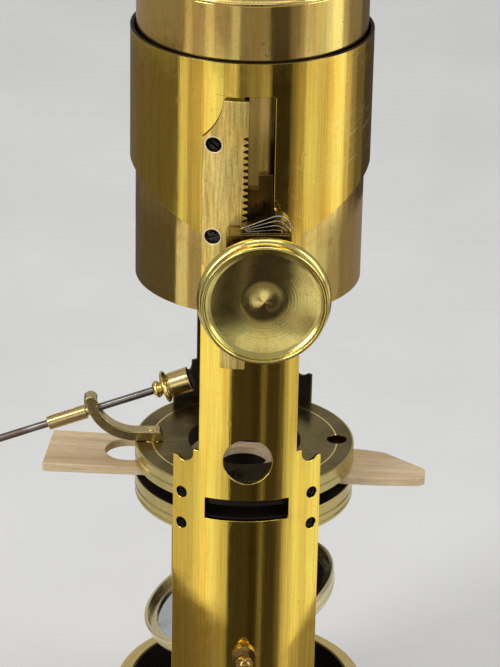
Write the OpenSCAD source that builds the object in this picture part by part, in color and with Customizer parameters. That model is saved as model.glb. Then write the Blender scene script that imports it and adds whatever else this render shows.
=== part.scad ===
// Drum microscope in brass: an upright tube whose upper half is a sleeve round the
// sliding drum and whose lower half is cut away to two limbs, which hold the stage,
// the mirror and the turned foot. Rack and pinion focusing at the front.
// Millimetres, +Z up. The origin is the middle of the foot's resting face, on the
// optical axis. The front, with rack and knob, faces -Y.

/* [Upright tube] */
// Outer diameter of the upright tube
tube_d = 52; // [50:0.5:60]
// Wall of the upright tube
tube_wall = 0.8; // [0.6:0.1:1.1]
// Height of the sleeve's rim above the top of the stage
rim_rise = 98.7; // [95:0.5:115]
// Crown of the side windows above the top of the stage
window_rise = 69.2; // [66:0.2:72]
// Radius of the arch at the top of the side windows
window_arch_r = 36; // [32:0.5:50]
// Width of the two limbs above their shoulders
limb_w = 21.4; // [20:0.2:23]
// Width of the two limbs below their shoulders
limb_foot_w = 32.4; // [31:0.2:34]
// Height of the shoulders above the top of the stage
shoulder_rise = 8.9; // [8:0.1:10]
// Radius of the notch cut in each shoulder
notch_r = 2.25; // [1.8:0.05:2.5]
// Diameter of the light hole in each limb
light_hole_d = 10.8; // [8:0.2:11.4]
// Height of the light holes above the top of the stage
light_hole_rise = 7.3; // [6.5:0.1:8]
// Width of the slot for sliders in each limb
slide_slot_w = 18.4; // [17:0.2:19.5]
// Height of the slot for sliders in each limb
slide_slot_h = 5.1; // [4.6:0.1:5.4]

/* [Foot] */
// Diameter of the foot where it rests
foot_d = 74; // [66:1:90]
// Height of the foot
foot_h = 24.2; // [22:0.2:27]
// Wall of the ring at the top of the foot
foot_neck_wall = 3.1; // [2.6:0.1:6]
// Thickness of the plate that closes the foot
foot_plate_t = 1.6; // [1.2:0.1:2.2]
// Thickness of the lead weight in the foot
foot_weight_t = 5; // [3:0.5:6]
// Height at which the upright tube stands in the foot
tube_seat_h = 9.5; // [9:0.5:11]

/* [Drum] */
// Gap between the drum and the bore of the sleeve
drum_gap = 0.43; // [0.3:0.01:0.6]
// Wall of the drum
drum_wall = 0.8; // [0.6:0.1:1.2]
// Height of the drum's lower end above the top of the stage
drum_rise = 41.7; // [40:0.2:44]
// Length of the drum's tube
drum_len = 69; // [67:0.5:84]
// Thickness of the plate that closes the drum below
drum_plate_t = 1.6; // [1.2:0.1:2.4]
// Height above the drum's lower end of the stop inside it
drum_stop_rise = 26; // [20:0.5:34]
// Diameter of the hole in the stop
drum_stop_d = 18; // [12:0.5:24]
// Running clearance of the drum in its guide rings
guide_clearance = 0.08; // [0.05:0.01:0.1]
// Height of each guide ring
guide_h = 3.5; // [2:0.1:4]
// Height of the turned cap on the drum
cap_h = 25; // [22:0.5:32]

/* [Objective] */
// Length of the snout below the drum
snout_len = 16.5; // [12:0.5:20]
// Diameter of the snout at the drum
snout_d = 19; // [17:0.5:20]
// Diameter of the objective cell
objective_cell_d = 12.4; // [11.5:0.1:13.5]
// Diameter of the objective lens
objective_lens_d = 8.4; // [7:0.1:9]

/* [Eyepiece] */
// Outer diameter of the draw tube
draw_d = 23.2; // [20:0.2:24]
// Wall of the draw tube
draw_wall = 0.7; // [0.5:0.1:1]
// Running clearance of the draw tube in the cap
draw_clearance = 0.06; // [0.03:0.01:0.1]
// Length of the draw tube
draw_len = 60; // [54:1:64]
// How far the draw tube stands out of the cap
draw_out = 9; // [7.5:0.5:16]
// Diameter of the eyecap
eyecap_d = 30; // [27:0.5:34]
// Diameter of the hole in the eyecap
eye_hole_d = 5; // [3:0.2:6]
// Diameter of the field lens
field_lens_d = 19; // [16:0.2:19.4]
// Diameter of the eye lens
eye_lens_d = 15; // [12:0.2:17]

/* [Rack and pinion] */
// Module of the rack and pinion, which is pitch over pi
gear_module = 0.45; // [0.42:0.01:0.46]
// Number of teeth on the pinion
pinion_teeth = 18; // [17:1:19]
// Play between the flanks of the teeth
backlash = 0.08; // [0.04:0.01:0.12]
// Height of the pinion's axis above the top of the stage
pinion_rise = 50.2; // [49.6:0.1:51]
// Distance of the tips of the rack's teeth left of the optical axis
rack_tip_x = 1.2; // [1:0.05:1.5]
// Thickness of the rack
rack_t = 1.2; // [1:0.05:1.4]
// Width of the toothed part of the rack
rack_w = 9.5; // [9:0.1:10.2]
// Width of the rack above its scallop and below the knob
rack_narrow_w = 5.2; // [4.8:0.1:5.6]
// Depth below the sleeve's rim of the rack's upper end
rack_top_drop = 7.8; // [7.2:0.1:9]
// Depth of the rack's upper screw below the rack's upper end
rack_screw_drop = 9.9; // [8:0.1:12]
// Distance between the two screws of the rack
rack_screw_pitch = 20.6; // [18:0.1:22]
// Number of tooth gaps above the pinion's axis
gaps_above = 23; // [20:1:24]
// Number of tooth gaps below the pinion's axis
gaps_below = 11; // [10:1:12]
// Width of the pinion slot right of the rack's teeth
slot_open_w = 5.6; // [5.2:0.1:6]
// Depth below the sleeve's rim of the upper end of the pinion slot
slot_top_drop = 7.2; // [6.6:0.1:8]
// Diameter of the pinion arbor
arbor_d = 3; // [2.6:0.1:3.2]
// Running clearance of the arbor in its bearings
arbor_clearance = 0.05; // [0.02:0.01:0.1]
// Width of the pinion box
box_w = 13.6; // [13:0.1:14.4]
// Height of the pinion box
box_h = 20.6; // [19:0.1:21.5]
// Depth of the pinion box with its cover
box_t = 4.4; // [4:0.1:5]
// Thickness of one leaf of the pinion spring
leaf_t = 0.28; // [0.2:0.02:0.32]
// Number of leaves in the pinion spring
leaf_count = 3; // [2:1:4]
// Diameter of the focusing knob
knob_d = 28.2; // [26:0.2:30]
// Thickness of the focusing knob
knob_t = 5.4; // [5:0.1:6.5]

/* [Stage] */
// Height of the top of the stage above the table
stage_h = 88; // [86:0.5:96]
// Gap between the stage discs and the bore of the tube
stage_gap = 0.45; // [0.3:0.05:0.6]
// Thickness of the upper disc
upper_disc_t = 4.3; // [4.1:0.1:4.8]
// Gap between the discs, where a slider goes
slide_gap = 2.8; // [2.7:0.1:3.2]
// Thickness of the lower disc
lower_disc_t = 5.4; // [5:0.1:6]
// Diameter of the aperture in the upper disc
aperture_d = 25.2; // [22:0.2:27]
// Diameter of the aperture in the lower disc
lower_aperture_d = 19; // [16:0.5:22]
// Distance of the middles of the two accessory holes from the edge of the disc
socket_margin = 3.85; // [3.35:0.1:4.55]
// Diameter of the two accessory holes
socket_d = 4.4; // [4:0.1:4.6]
// Angle of the stage screws from the front or the back
screw_angle = 33.4; // [32:0.2:34]
// Diameter of the heads of the small screws
screw_head_d = 2.6; // [2.2:0.1:2.8]
// Clearance of a screw in its hole
screw_gap = 0.05; // [0.03:0.01:0.08]

/* [Slider] */
// Length of the wooden slider
slider_len = 86; // [80:1:96]
// Width of the wooden slider
slider_w = 14.9; // [13:0.1:16]
// How much wider the left end of the wooden slider is
slider_taper = 2.2; // [0:0.1:3]
// Thickness of the wooden slider
slider_t = 2; // [1.8:0.1:2.2]
// Gap between the slider and the upper disc
slider_gap = 0.2; // [0.1:0.05:0.3]
// Angle by which the slider's right end is turned to the front
slider_turn = 7.2; // [0:0.2:9]
// Diameter of the holes in the slider
slider_hole_d = 10.6; // [8:0.2:12]
// Distance between the holes of the slider
slider_pitch = 26.4; // [22:0.2:28]

/* [Stage forceps] */
// Width of the forceps arm
arm_w = 3.5; // [3:0.1:4]
// Thickness of the forceps arm
arm_t = 2.3; // [2:0.1:2.6]
// Radius of the bend of the arm, at its outside
arm_bend_r = 11.7; // [11:0.1:12.4]
// Slope of the rod
rod_slope = 19.5; // [15:0.5:22]
// Diameter of the steel rod
rod_d = 1.7; // [1.4:0.1:1.8]
// Running clearance of the rod in its tube
rod_clearance = 0.03; // [0.02:0.01:0.06]
// Outer diameter of the split tube
split_tube_d = 3.2; // [3:0.1:3.6]
// Length of the split tube
split_tube_len = 9; // [7:0.5:11]
// Length of the rod left of the arm
rod_left = 26; // [22:0.5:32]
// Length of the rod right of the arm
rod_right = 14.6; // [12:0.1:15.5]
// Length of the spring jaws
jaw_len = 18; // [12:0.5:22]
// Diameter of the cup at the rod's right end
cup_d = 5.8; // [5:0.1:6.4]

/* [Mirror] */
// Outer diameter of the mirror's cell
mirror_d = 45.8; // [42:0.2:46.4]
// Depth of the mirror's cell
mirror_cell_t = 5; // [4.6:0.1:6]
// Wall of the mirror's cell
mirror_wall = 0.9; // [0.7:0.1:1.3]
// Thickness of the mirror's glass
mirror_glass_t = 2; // [1.6:0.1:2.4]
// Height of the mirror's pivots above the table
mirror_h = 46.8; // [46:0.2:49]
// Tilt of the mirror, left side down
mirror_tilt = 18; // [0:1:40]
// Diameter of the points of the pivot screws
pivot_point_d = 1.2; // [1:0.1:1.6]
// Clearance of the pivot points in the cell
pivot_clearance = 0.05; // [0.02:0.01:0.1]

/* [Hidden] */
$fn = 96;

// Colours
BRASS = "#caa443";
DARK_BRASS = "#8f7434";
PALE_BRASS = "#d9bf7a";
STEEL = "#8b8d90";
BLUED = "#2c2b30";
GLASS = "#cfe0e4";
WOOD = "#d8b78c";
LEAD = "#3a4048";

// Small common values: slack for cuts, a gap between still parts, a thin turned line
cut = 1;
seat_gap = 0.02;
line_r = 0.22;

// Shank and head radii of the screws in carriage, foot and eyecap
carriage_screw_r = 0.7;
carriage_head_r = 1.2;
rack_shank_r = screw_head_d * 0.35;
tube_screw_r = 1.2;
tube_screw_head_r = 1.9;
tube_screw_sink = 1.4;
shutter_screw_r = 0.7;

// Tube and levels
tube_r = tube_d / 2;
bore_r = tube_r - tube_wall;
stage_z = stage_h;
rim_z = stage_z + rim_rise;
shoulder_z = stage_z + shoulder_rise;
sill_z = foot_h + 0.4;
arch_z = stage_z + window_rise - window_arch_r;
limb_a = asin(limb_w / 2 / tube_r);
limb_foot_a = asin(limb_foot_w / 2 / tube_r);
step_a = limb_a + 2.9;
notch_a = (step_a + limb_foot_a) / 2 - 0.7;
notch_z = shoulder_z - 0.9;
tip_z = notch_z - notch_r * 0.62;
tip_a = notch_a + asin(notch_r * 0.78 / tube_r);
light_hole_z = stage_z + light_hole_rise;

// Stage levels
disc_r = bore_r - stage_gap;
socket_r = disc_r - socket_margin;
upper_z0 = stage_z - upper_disc_t;
lower_z1 = upper_z0 - slide_gap;
lower_z0 = lower_z1 - lower_disc_t;
upper_screw_z = stage_z - upper_disc_t / 2;
lower_screw_z = lower_z0 + lower_disc_t / 2;
slot_mid_z = upper_z0 - slide_gap / 2 + 0.95;

// Drum
drum_r = bore_r - drum_gap;
drum_bore_r = drum_r - drum_wall;
drum_z0 = stage_z + drum_rise;
drum_z1 = drum_z0 + drum_len;
snout_z = drum_z0 - snout_len;
cap_collar_h = 9;
cap_bore_r = draw_d / 2 + draw_clearance;
cap_top_z = drum_z1 + cap_h;
draw_z1 = cap_top_z + draw_out;
draw_z0 = draw_z1 - draw_len;
draw_bore_r = draw_d / 2 - draw_wall;

// Rack and pinion
pitch = PI * gear_module;
pinion_r = gear_module * pinion_teeth / 2;
pitch_line_x = -rack_tip_x - gear_module;
pinion_x = pitch_line_x + pinion_r;
pinion_z = stage_z + pinion_rise;
rack_root_x = pitch_line_x - 1.25 * gear_module;
rack_r = tube_r + rack_t;
rack_z1 = rim_z - rack_top_drop;
rack_z0 = pinion_z - 20;
slot_x0 = rack_root_x;
slot_x1 = slot_open_w - rack_tip_x;
slot_z1 = rim_z - slot_top_drop;
slot_z0 = pinion_z - 18.7;
slot_side = 0.3;
pinion_back = tube_r + 0.2;
pinion_front = pinion_back + rack_t + 0.2;
pinion_tip_r = pinion_r + gear_module;
box_back = rack_r + 0.45;
box_front = box_back + box_t;
cover_t = 1;
box_x0 = pinion_x - box_w / 2 - 1.2;
box_x1 = box_x0 + box_w;
box_z0 = drum_z0 + 1.1;
box_z1 = box_z0 + box_h;
carriage_x0 = slot_x0 + slot_side;
carriage_x1 = slot_x1 - slot_side;
carriage_z0 = drum_z0 + 0.8;
carriage_z1 = box_z1 + 10.9;
pillar_x0 = -rack_tip_x + slot_side;
pillar_gap = 0.4;
box_screw_d = 1.5;
box_screw_grip = 1.8;
box_head_t = 0.75;
knob_back = box_front + 1.5;
knob_front = knob_back + knob_t;
arbor_end = knob_front - 3.5;

// Slider and its springs
slider_z1 = upper_z0 - slider_gap;
slider_z0 = slider_z1 - slider_t;
spring_space = slider_z0 - lower_z1;
slide_spring_t = 0.22;

// Forceps: the arm lies in the plane Y = 0, its bend is centred above the stage's rim
pin_x = -socket_r;
arm_seat = 0.05;
bend_x = -(disc_r - 0.4);
bend_z = stage_z + arm_seat + arm_bend_r;
rod_x = bend_x - arm_bend_r + arm_t / 2 + 0.55;
rod_z = bend_z - 4.6;
split_bore_r = rod_d / 2 + rod_clearance;
split_wall = 0.5;
arm_rivet_r = 1.1;
socket_clearance = 0.06;
flat_t = 0.6;
jaw_z = flat_t / 2 + seat_gap;
jaw_t = 0.5;
jaw_w = 2;

// Mirror
mirror_r = mirror_d / 2;
mirror_back_t = 0.8;
pivot_r = mirror_r - mirror_wall;

// Solid ring about Z
module ring(r1, r0, z0, z1) {
    translate([0, 0, z0]) difference() {
        cylinder(r = r1, h = z1 - z0);
        translate([0, 0, -cut]) cylinder(r = r0, h = z1 - z0 + 2 * cut);
    }
}

// Fine turned line round an edge of radius r at height z
module turned_line(r, z) {
    translate([0, 0, z]) rotate_extrude() translate([r, 0]) circle(line_r, $fn = 16);
}

// Prism that covers the side on +X, from angle a off the front to angle a off the back
module side_wedge(a, z0, z1) {
    far = 3 * tube_r;
    translate([0, 0, z0]) linear_extrude(z1 - z0)
        polygon([[0, 0], [far * sin(a), -far * cos(a)], [2 * far, -far * cos(a)],
            [2 * far, far * cos(a)], [far * sin(a), far * cos(a)]]);
}

// Children turned so that what points along +X points out at angle a from the front
module facing(a) {
    rotate([0, 0, a - 90]) children();
}

// Plain rod along +X between two radii
module radial_pin(r, x0, x1) {
    translate([x0, 0, 0]) rotate([0, 90, 0]) cylinder(r = r, h = x1 - x0);
}

// Countersunk slotted screw along +X: its head ends at radius x1
module slotted_screw(x0, x1, head_r, shank_r, sink) {
    slot_w = head_r * 0.28;
    difference() {
        union() {
            radial_pin(shank_r, x0, x1 - sink);
            translate([x1 - sink, 0, 0]) rotate([0, 90, 0])
                cylinder(r1 = shank_r, r2 = head_r, h = sink * 0.5);
            radial_pin(head_r, x1 - sink * 0.5, x1);
        }
        translate([x1 - sink * 0.35, -slot_w / 2, -head_r - cut])
            cube([sink, slot_w, 2 * (head_r + cut)]);
    }
}

// Room for a slotted screw, with clearance all round
module screw_room(x0, x1, head_r, shank_r, sink) {
    radial_pin(shank_r + screw_gap, x0 - screw_gap, x1);
    translate([x1 - sink - screw_gap, 0, 0]) rotate([0, 90, 0])
        cylinder(r1 = shank_r + screw_gap, r2 = head_r + screw_gap, h = sink * 0.5);
    radial_pin(head_r + screw_gap, x1 - sink * 0.5 - screw_gap, x1 + 2 * cut);
}

// Places of the eight stage screws
module at_stage_screws() {
    for (side = [0, 180], s = [-1, 1], z = [upper_screw_z, lower_screw_z])
        facing(side + s * screw_angle) translate([0, 0, z]) children();
}
stage_screw_x0 = disc_r - 4;
stage_screw_sink = tube_wall;
stage_shank_r = screw_head_d * 0.32;

// Places of the two rack screws
rack_screw_a = asin((rack_tip_x + rack_w - 2.3) / rack_r);
rack_screw_head_r = screw_head_d / 2 + 0.3;
rack_screw_x0 = bore_r + 0.05;
module at_rack_screws() {
    for (drop = [rack_screw_drop, rack_screw_drop + rack_screw_pitch])
        facing(-rack_screw_a) translate([0, 0, rack_z1 - drop]) children();
}

// Places of the three screws that hold the tube in the foot
tube_screw_z = tube_seat_h + 7;
foot_neck_r = tube_r + foot_neck_wall;
tube_screw_x1 = foot_neck_r + 1.9;
module at_tube_screws() {
    for (a = [60, 180, 300]) facing(a) translate([0, 0, tube_screw_z]) children();
}

// Upper and lower windows on one side, with the shoulder of both limbs
module side_window() {
    intersection() {
        side_wedge(limb_a, shoulder_z, rim_z);
        union() {
            translate([0, 0, arch_z]) rotate([0, 90, 0])
                cylinder(r = window_arch_r, h = 2 * tube_r);
            translate([0, -tube_r, shoulder_z - cut])
                cube([2 * tube_r, 2 * tube_r, arch_z - shoulder_z + cut]);
        }
    }
    side_wedge(step_a, notch_z, shoulder_z + cut);
    side_wedge(tip_a, tip_z, notch_z + cut);
    side_wedge(limb_foot_a, sill_z, tip_z + cut);
    for (a = [notch_a, 180 - notch_a])
        facing(a) translate([0, 0, notch_z]) radial_pin(notch_r, bore_r - 4, tube_r + 4);
}

// The upright tube: sleeve above, two limbs below, cut from one piece
module limb_tube() {
    color(BRASS) difference() {
        ring(tube_r, bore_r, tube_seat_h, rim_z);
        for (m = [0, 1]) mirror([m, 0, 0]) side_window();
        for (a = [0, 180]) facing(a) {
            translate([0, 0, light_hole_z]) radial_pin(light_hole_d / 2, 0, tube_r + cut);
            translate([bore_r - 4, -slide_slot_w / 2, slot_mid_z - slide_slot_h / 2])
                cube([8, slide_slot_w, slide_slot_h]);
            translate([0, 0, mirror_h]) radial_pin(pivot_screw_r + screw_gap, 0, tube_r + cut);
        }
        translate([slot_x0, -tube_r - cut, slot_z0])
            cube([slot_x1 - slot_x0, tube_r, slot_z1 - slot_z0]);
        at_stage_screws() radial_pin(screw_head_d / 2 + screw_gap, bore_r - cut, tube_r + cut);
        at_rack_screws() radial_pin(rack_shank_r + screw_gap, bore_r - cut, tube_r + cut);
        at_tube_screws() radial_pin(tube_screw_r + screw_gap, bore_r - cut, tube_r + cut);
    }
}

// Two rings soldered in the sleeve, which guide the drum
module guide_rings() {
    color(DARK_BRASS) difference() {
        for (z = [slot_z1 + 0.6, stage_z + window_rise + 4])
            ring(bore_r, drum_r + guide_clearance, z, z + guide_h);
        translate([slot_x0 - 0.5, -tube_r, slot_z0])
            cube([slot_x1 - slot_x0 + 1, tube_r, slot_z1 - slot_z0]);
        at_rack_screws() radial_pin(screw_head_d, drum_r - cut, tube_r);
    }
}

// Outline of the rack in the X Z plane: straight toothed edge on the right,
// scallop and step on the left
scallop_r = 13;
module rack_outline() {
    half = pitch / 4 + backlash / 4;
    lean = tan(20);
    left_x = -rack_tip_x - rack_w;
    narrow_x = -rack_tip_x - rack_narrow_w;
    teeth = [for (k = [-gaps_below : gaps_above]) let (z = pinion_z + k * pitch)
        each [[-rack_tip_x, z - half - gear_module * lean],
            [rack_root_x, z - half + 1.25 * gear_module * lean],
            [rack_root_x, z + half - 1.25 * gear_module * lean],
            [-rack_tip_x, z + half + gear_module * lean]]];
    difference() {
        polygon(concat([[narrow_x, rack_z0], [-rack_tip_x, rack_z0]], teeth,
            [[-rack_tip_x, rack_z1], [left_x, rack_z1], [left_x, pinion_z + 4],
                [narrow_x, pinion_z - 3]]));
        translate([narrow_x - scallop_r + 0.06, rack_z1 + 1.2]) circle(scallop_r, $fn = 180);
    }
}

// The rack: a curved strip, proud on the sleeve
module rack() {
    color(PALE_BRASS) difference() {
        intersection() {
            ring(rack_r, tube_r, rack_z0 - cut, rack_z1 + cut);
            rotate([90, 0, 0]) linear_extrude(2 * tube_r) rack_outline();
        }
        at_rack_screws()
            screw_room(rack_screw_x0, rack_r, rack_screw_head_r, rack_shank_r, rack_t);
    }
}

module rack_screws() {
    color(BLUED) at_rack_screws()
        slotted_screw(rack_screw_x0, rack_r, rack_screw_head_r, rack_shank_r, rack_t);
}

// The foot: a turned ring that flares to its resting face
module foot_ring() {
    neck_r = foot_neck_r;
    rest_r = foot_d / 2;
    bead_r = 1.3;
    flare = rest_r - neck_r - 1.8;
    color(BRASS) difference() {
        rotate_extrude() polygon(concat(
            [[tube_r + seat_gap, foot_h], [neck_r - 0.5, foot_h], [neck_r, foot_h - 0.5],
                [neck_r, foot_h - 2.6], [neck_r - 0.6, foot_h - 3]],
            [for (t = [-60 : 15 : 90])
                [neck_r + 0.4 + bead_r * cos(t) * 0.9, foot_h - 4.8 - bead_r * sin(t)]],
            [for (t = [0 : 7.5 : 90])
                [neck_r + 0.6 + flare * (1 - cos(t)), 4.6 + (foot_h - 11.4) * (1 - sin(t))]],
            [[rest_r - 0.9, 4.6], [rest_r - 0.9, 3.9], [rest_r, 3.4], [rest_r, 0.4],
                [rest_r - 0.4, 0], [plate_r, 0], [plate_r, foot_plate_t],
                [bore_r - 1.6, foot_plate_t], [bore_r - 1.6, tube_seat_h - seat_gap],
                [tube_r + seat_gap, tube_seat_h - seat_gap]]));
        at_tube_screws()
            screw_room(bore_r - cut, tube_screw_x1, tube_screw_head_r, tube_screw_r,
                tube_screw_sink);
        at_plate_screws() cylinder(r = plate_shank_r + screw_gap, h = plate_screw_len);
    }
}

// Places of the three screws through the foot's plate
plate_r = tube_r + 4;
plate_screw_len = 6;
plate_shank_r = 1.1;
plate_head_r = 2;
plate_head_t = 0.9;
plate_sink = 0.06;
module at_plate_screws() {
    for (a = [0, 120, 240]) rotate([0, 0, a + 30]) translate([tube_r + 1.5, 0, 0]) children();
}

// Lead weight that steadies the foot
module foot_weight() {
    color(LEAD) translate([0, 0, foot_plate_t])
        cylinder(r = bore_r - 1.6 - 0.2, h = foot_weight_t);
}

// Plate that closes the foot from below, flush with its resting face
module foot_plate() {
    color(BRASS) difference() {
        cylinder(r = plate_r - seat_gap, h = foot_plate_t);
        at_plate_screws() {
            translate([0, 0, -cut]) cylinder(r = plate_shank_r + screw_gap, h = 10);
            translate([0, 0, -cut]) cylinder(r = plate_head_r + screw_gap, h = plate_sink + cut);
            translate([0, 0, plate_sink]) cylinder(r1 = plate_head_r + screw_gap,
                r2 = plate_shank_r + screw_gap, h = plate_head_t);
        }
    }
}

module foot_plate_screws() {
    color(BLUED) at_plate_screws() difference() {
        translate([0, 0, plate_sink]) union() {
            cylinder(r1 = plate_head_r, r2 = plate_shank_r, h = plate_head_t);
            cylinder(r = plate_shank_r, h = plate_screw_len - 0.2);
        }
        translate([-0.25, -3, -cut]) cube([0.5, 6, cut + 0.4]);
    }
}

module tube_screws() {
    color(BLUED) at_tube_screws() slotted_screw(bore_r + 0.1, tube_screw_x1,
        tube_screw_head_r, tube_screw_r, tube_screw_sink);
}

// The drum: the sliding body tube
module body_drum() {
    color(DARK_BRASS) difference() {
        ring(drum_r, drum_bore_r, drum_z0, drum_z1);
        at_carriage_screws() radial_pin(carriage_screw_r + screw_gap, drum_bore_r - cut, drum_r + cut);
    }
}

// Plate that closes the drum below and takes the snout
module drum_plate() {
    color(DARK_BRASS) ring(drum_bore_r - seat_gap, snout_d / 2 - 2.5, drum_z0, drum_z0 + drum_plate_t);
}

// Blackened stop inside the drum
module drum_stop() {
    stop_z = drum_z0 + drum_stop_rise;
    color(BLUED) ring(drum_bore_r - seat_gap, drum_stop_d / 2, stop_z, stop_z + 1.2);
}

// Snout below the drum, with a screwed spigot through the plate
module snout() {
    top_r = snout_d / 2;
    tip_r = objective_cell_d / 2 + 1.1;
    spigot_r = top_r - 2.5 - seat_gap;
    bore = objective_cell_d / 2 - 1.2;
    wall_r = top_r - 4.2;
    color(BRASS) rotate_extrude() polygon(concat(
        [[bore, snout_z + 4], [objective_cell_d / 2 + seat_gap, snout_z + 4],
            [objective_cell_d / 2 + seat_gap, snout_z], [tip_r - 0.2, snout_z],
            [tip_r + 0.3, snout_z + 0.6], [tip_r + 0.3, snout_z + 2], [tip_r, snout_z + 2.4]],
        [for (t = [0 : 10 : 90]) [tip_r + (top_r - 0.9 - tip_r) * (1 - cos(t)),
            snout_z + 2.6 + (snout_len - 6) * sin(t)]],
        [[top_r, drum_z0 - 2.6], [top_r, drum_z0 - seat_gap],
            [spigot_r, drum_z0 - seat_gap], [spigot_r, drum_z0 + drum_plate_t + 2],
            [wall_r, drum_z0 + drum_plate_t + 2], [wall_r, drum_z0 - 4], [bore, snout_z + 8]]));
}

// Cell that screws into the snout and holds the objective lens
module objective_cell() {
    r = objective_cell_d / 2;
    color(BRASS) difference() {
        union() {
            ring(r, objective_lens_d / 2 + seat_gap, snout_z - 0.1, snout_z + 3.6);
            ring(r + 0.8, objective_lens_d / 2 - 0.7, snout_z - 2.4, snout_z - 0.1);
        }
        turned_line(r + 0.8, snout_z - 1.2);
    }
}

// Doubly curved lens between two heights at its rim
module lens(r, z0, rim_t, bulge) {
    steps = 8;
    translate([0, 0, z0]) rotate_extrude() polygon(concat(
        [[0, -bulge]],
        [for (i = [1 : steps]) [r * i / steps, -bulge * (1 - pow(i / steps, 2))]],
        [for (i = [steps : -1 : 1]) [r * i / steps, rim_t + bulge * (1 - pow(i / steps, 2))]],
        [[0, rim_t + bulge]]));
}

module objective_lens() {
    color(GLASS) lens(objective_lens_d / 2, snout_z + 0.15, 1.2, 0.7);
}

// Ring that keeps the objective lens in its cell
module objective_ring() {
    r = objective_lens_d / 2;
    color(BLUED) ring(r, r - 0.8, snout_z + 1.65, snout_z + 2.9);
}

// Turned cap on the drum: bead, band, ogee and the collar that guides the draw tube
module drum_cap() {
    bead = 0.45;
    band_z = drum_z1 + 8;
    ogee_h = cap_h - 8 - cap_collar_h;
    collar_r = cap_bore_r + 1.6;
    roof_t = 1.1;
    color(BRASS) rotate_extrude() polygon(concat(
        [[drum_bore_r - seat_gap, drum_z1 - 4], [drum_bore_r - seat_gap, drum_z1 + seat_gap],
            [drum_r, drum_z1 + seat_gap]],
        [for (t = [-90 : 30 : 90]) [drum_r + bead * cos(t), drum_z1 + 0.5 + bead * sin(t)]],
        [[drum_r - 0.1, drum_z1 + 1.2], [drum_r - 0.1, band_z - 1.4]],
        [for (t = [-90 : 30 : 90]) [drum_r - 0.1 + 0.5 * cos(t), band_z - 0.7 + 0.6 * sin(t)]],
        [for (t = [0 : 6 : 90]) [collar_r + 1.4 + (drum_r - 1.2 - collar_r - 1.4) * cos(t),
            band_z + ogee_h * (t / 90 - 0.16 * sin(2 * t))]],
        [[collar_r, band_z + ogee_h + 0.3], [collar_r, cap_top_z - 2.6]],
        [for (t = [-90 : 30 : 90])
            [collar_r + 0.9 * cos(t), cap_top_z - 1.3 + 1.2 * sin(t)]],
        [[cap_bore_r, cap_top_z], [cap_bore_r, band_z + ogee_h - 0.6 - roof_t],
            [drum_bore_r - 2.4, band_z - 1.6], [drum_bore_r - 1.4, drum_z1 - 4]]));
}

// Draw tube of the eyepiece
module draw_tube() {
    color(PALE_BRASS) ring(draw_d / 2, draw_bore_r, draw_z0, draw_z1);
}

// Cell of the field lens in the lower end of the draw tube
module field_cell() {
    r = draw_bore_r - seat_gap;
    color(BLUED) difference() {
        ring(r, field_lens_d / 2 - 1, draw_z0, draw_z0 + 5);
        ring(field_lens_d / 2 + seat_gap, 0, draw_z0 + 1.5, draw_z0 + 6);
    }
}

module field_lens() {
    color(GLASS) lens(field_lens_d / 2, draw_z0 + 1.5 + 0.2, 1.6, 0.9);
}

// Cell of the eye lens, screwed on the draw tube
module eye_cell() {
    r = draw_d / 2 + 1.4;
    z0 = draw_z1 - 2.4;
    z1 = draw_z1 + 4;
    color(BRASS) difference() {
        union() {
            ring(r, draw_d / 2 + seat_gap, z0, draw_z1);
            ring(r, eye_lens_d / 2 - 1, draw_z1 + seat_gap, z1);
            ring(r, draw_d / 2 + seat_gap, draw_z1 - cut, draw_z1 + 0.5);
        }
        translate([0, 0, draw_z1 + 1.4]) cylinder(r = eye_lens_d / 2 + seat_gap, h = 4);
        turned_line(r, draw_z1 - 1.6);
        turned_line(r, draw_z1 + 2.6);
    }
}

module eye_lens() {
    color(GLASS) lens(eye_lens_d / 2, draw_z1 + 1.4 + 0.25, 1.2, 0.8);
}

// Dished eyecap with the eye hole
cap_z0 = draw_z1 + 4 + seat_gap;
dish_z = cap_z0 + 2.3;
module eyecap() {
    r = eyecap_d / 2;
    spigot_r = draw_d / 2 + 1.4;
    color(BRASS) difference() {
        rotate_extrude() polygon(concat(
            [[eye_hole_d / 2, cap_z0 + 1.2], [eye_lens_d / 2, cap_z0 + 0.6],
                [eye_lens_d / 2, cap_z0], [spigot_r, cap_z0], [r - 1.4, cap_z0 + 1.6]],
            [for (t = [-60 : 20 : 90]) [r - 1 + cos(t), cap_z0 + 2.7 + sin(t)]],
            [for (t = [0 : 15 : 90]) [r - 1.6 - 1.4 * sin(t), dish_z + 1.35 * (1 - sin(t))]],
            [[eye_hole_d / 2, dish_z]]));
        translate([shutter_x, 0, cap_z0 - cut]) cylinder(r = shutter_screw_r + screw_gap, h = 9);
    }
}

// Shutter that swings over the eye hole on the floor of the dish
shutter_x = -7.6;
shutter_z0 = dish_z + 0.08;
shutter_t = 0.6;
shutter_open = 48;
module eye_shutter() {
    reach = -shutter_x;
    color(BRASS) translate([shutter_x, 0, shutter_z0]) rotate([0, 0, shutter_open])
        difference() {
            union() {
                cylinder(r = 1.7, h = shutter_t);
                translate([0, -1.1, 0]) cube([reach, 2.2, shutter_t]);
                translate([reach, 0, 0]) cylinder(r = eye_hole_d / 2 + 0.9, h = shutter_t);
                translate([reach + 1.8, 0, 0]) cylinder(r = 0.6, h = shutter_t + 0.9);
            }
            translate([0, 0, -cut]) cylinder(r = shutter_screw_r + screw_gap, h = 4);
        }
}

module shutter_screw() {
    color(BLUED) translate([shutter_x, 0, 0]) difference() {
        union() {
            translate([0, 0, cap_z0 + 0.9]) cylinder(r = shutter_screw_r, h = 2.6);
            translate([0, 0, shutter_z0 + shutter_t + 0.05]) cylinder(r = 1.3, h = 0.8);
        }
        translate([-0.18, -2, shutter_z0 + shutter_t + 0.5]) cube([0.36, 4, 2]);
    }
}

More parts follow.
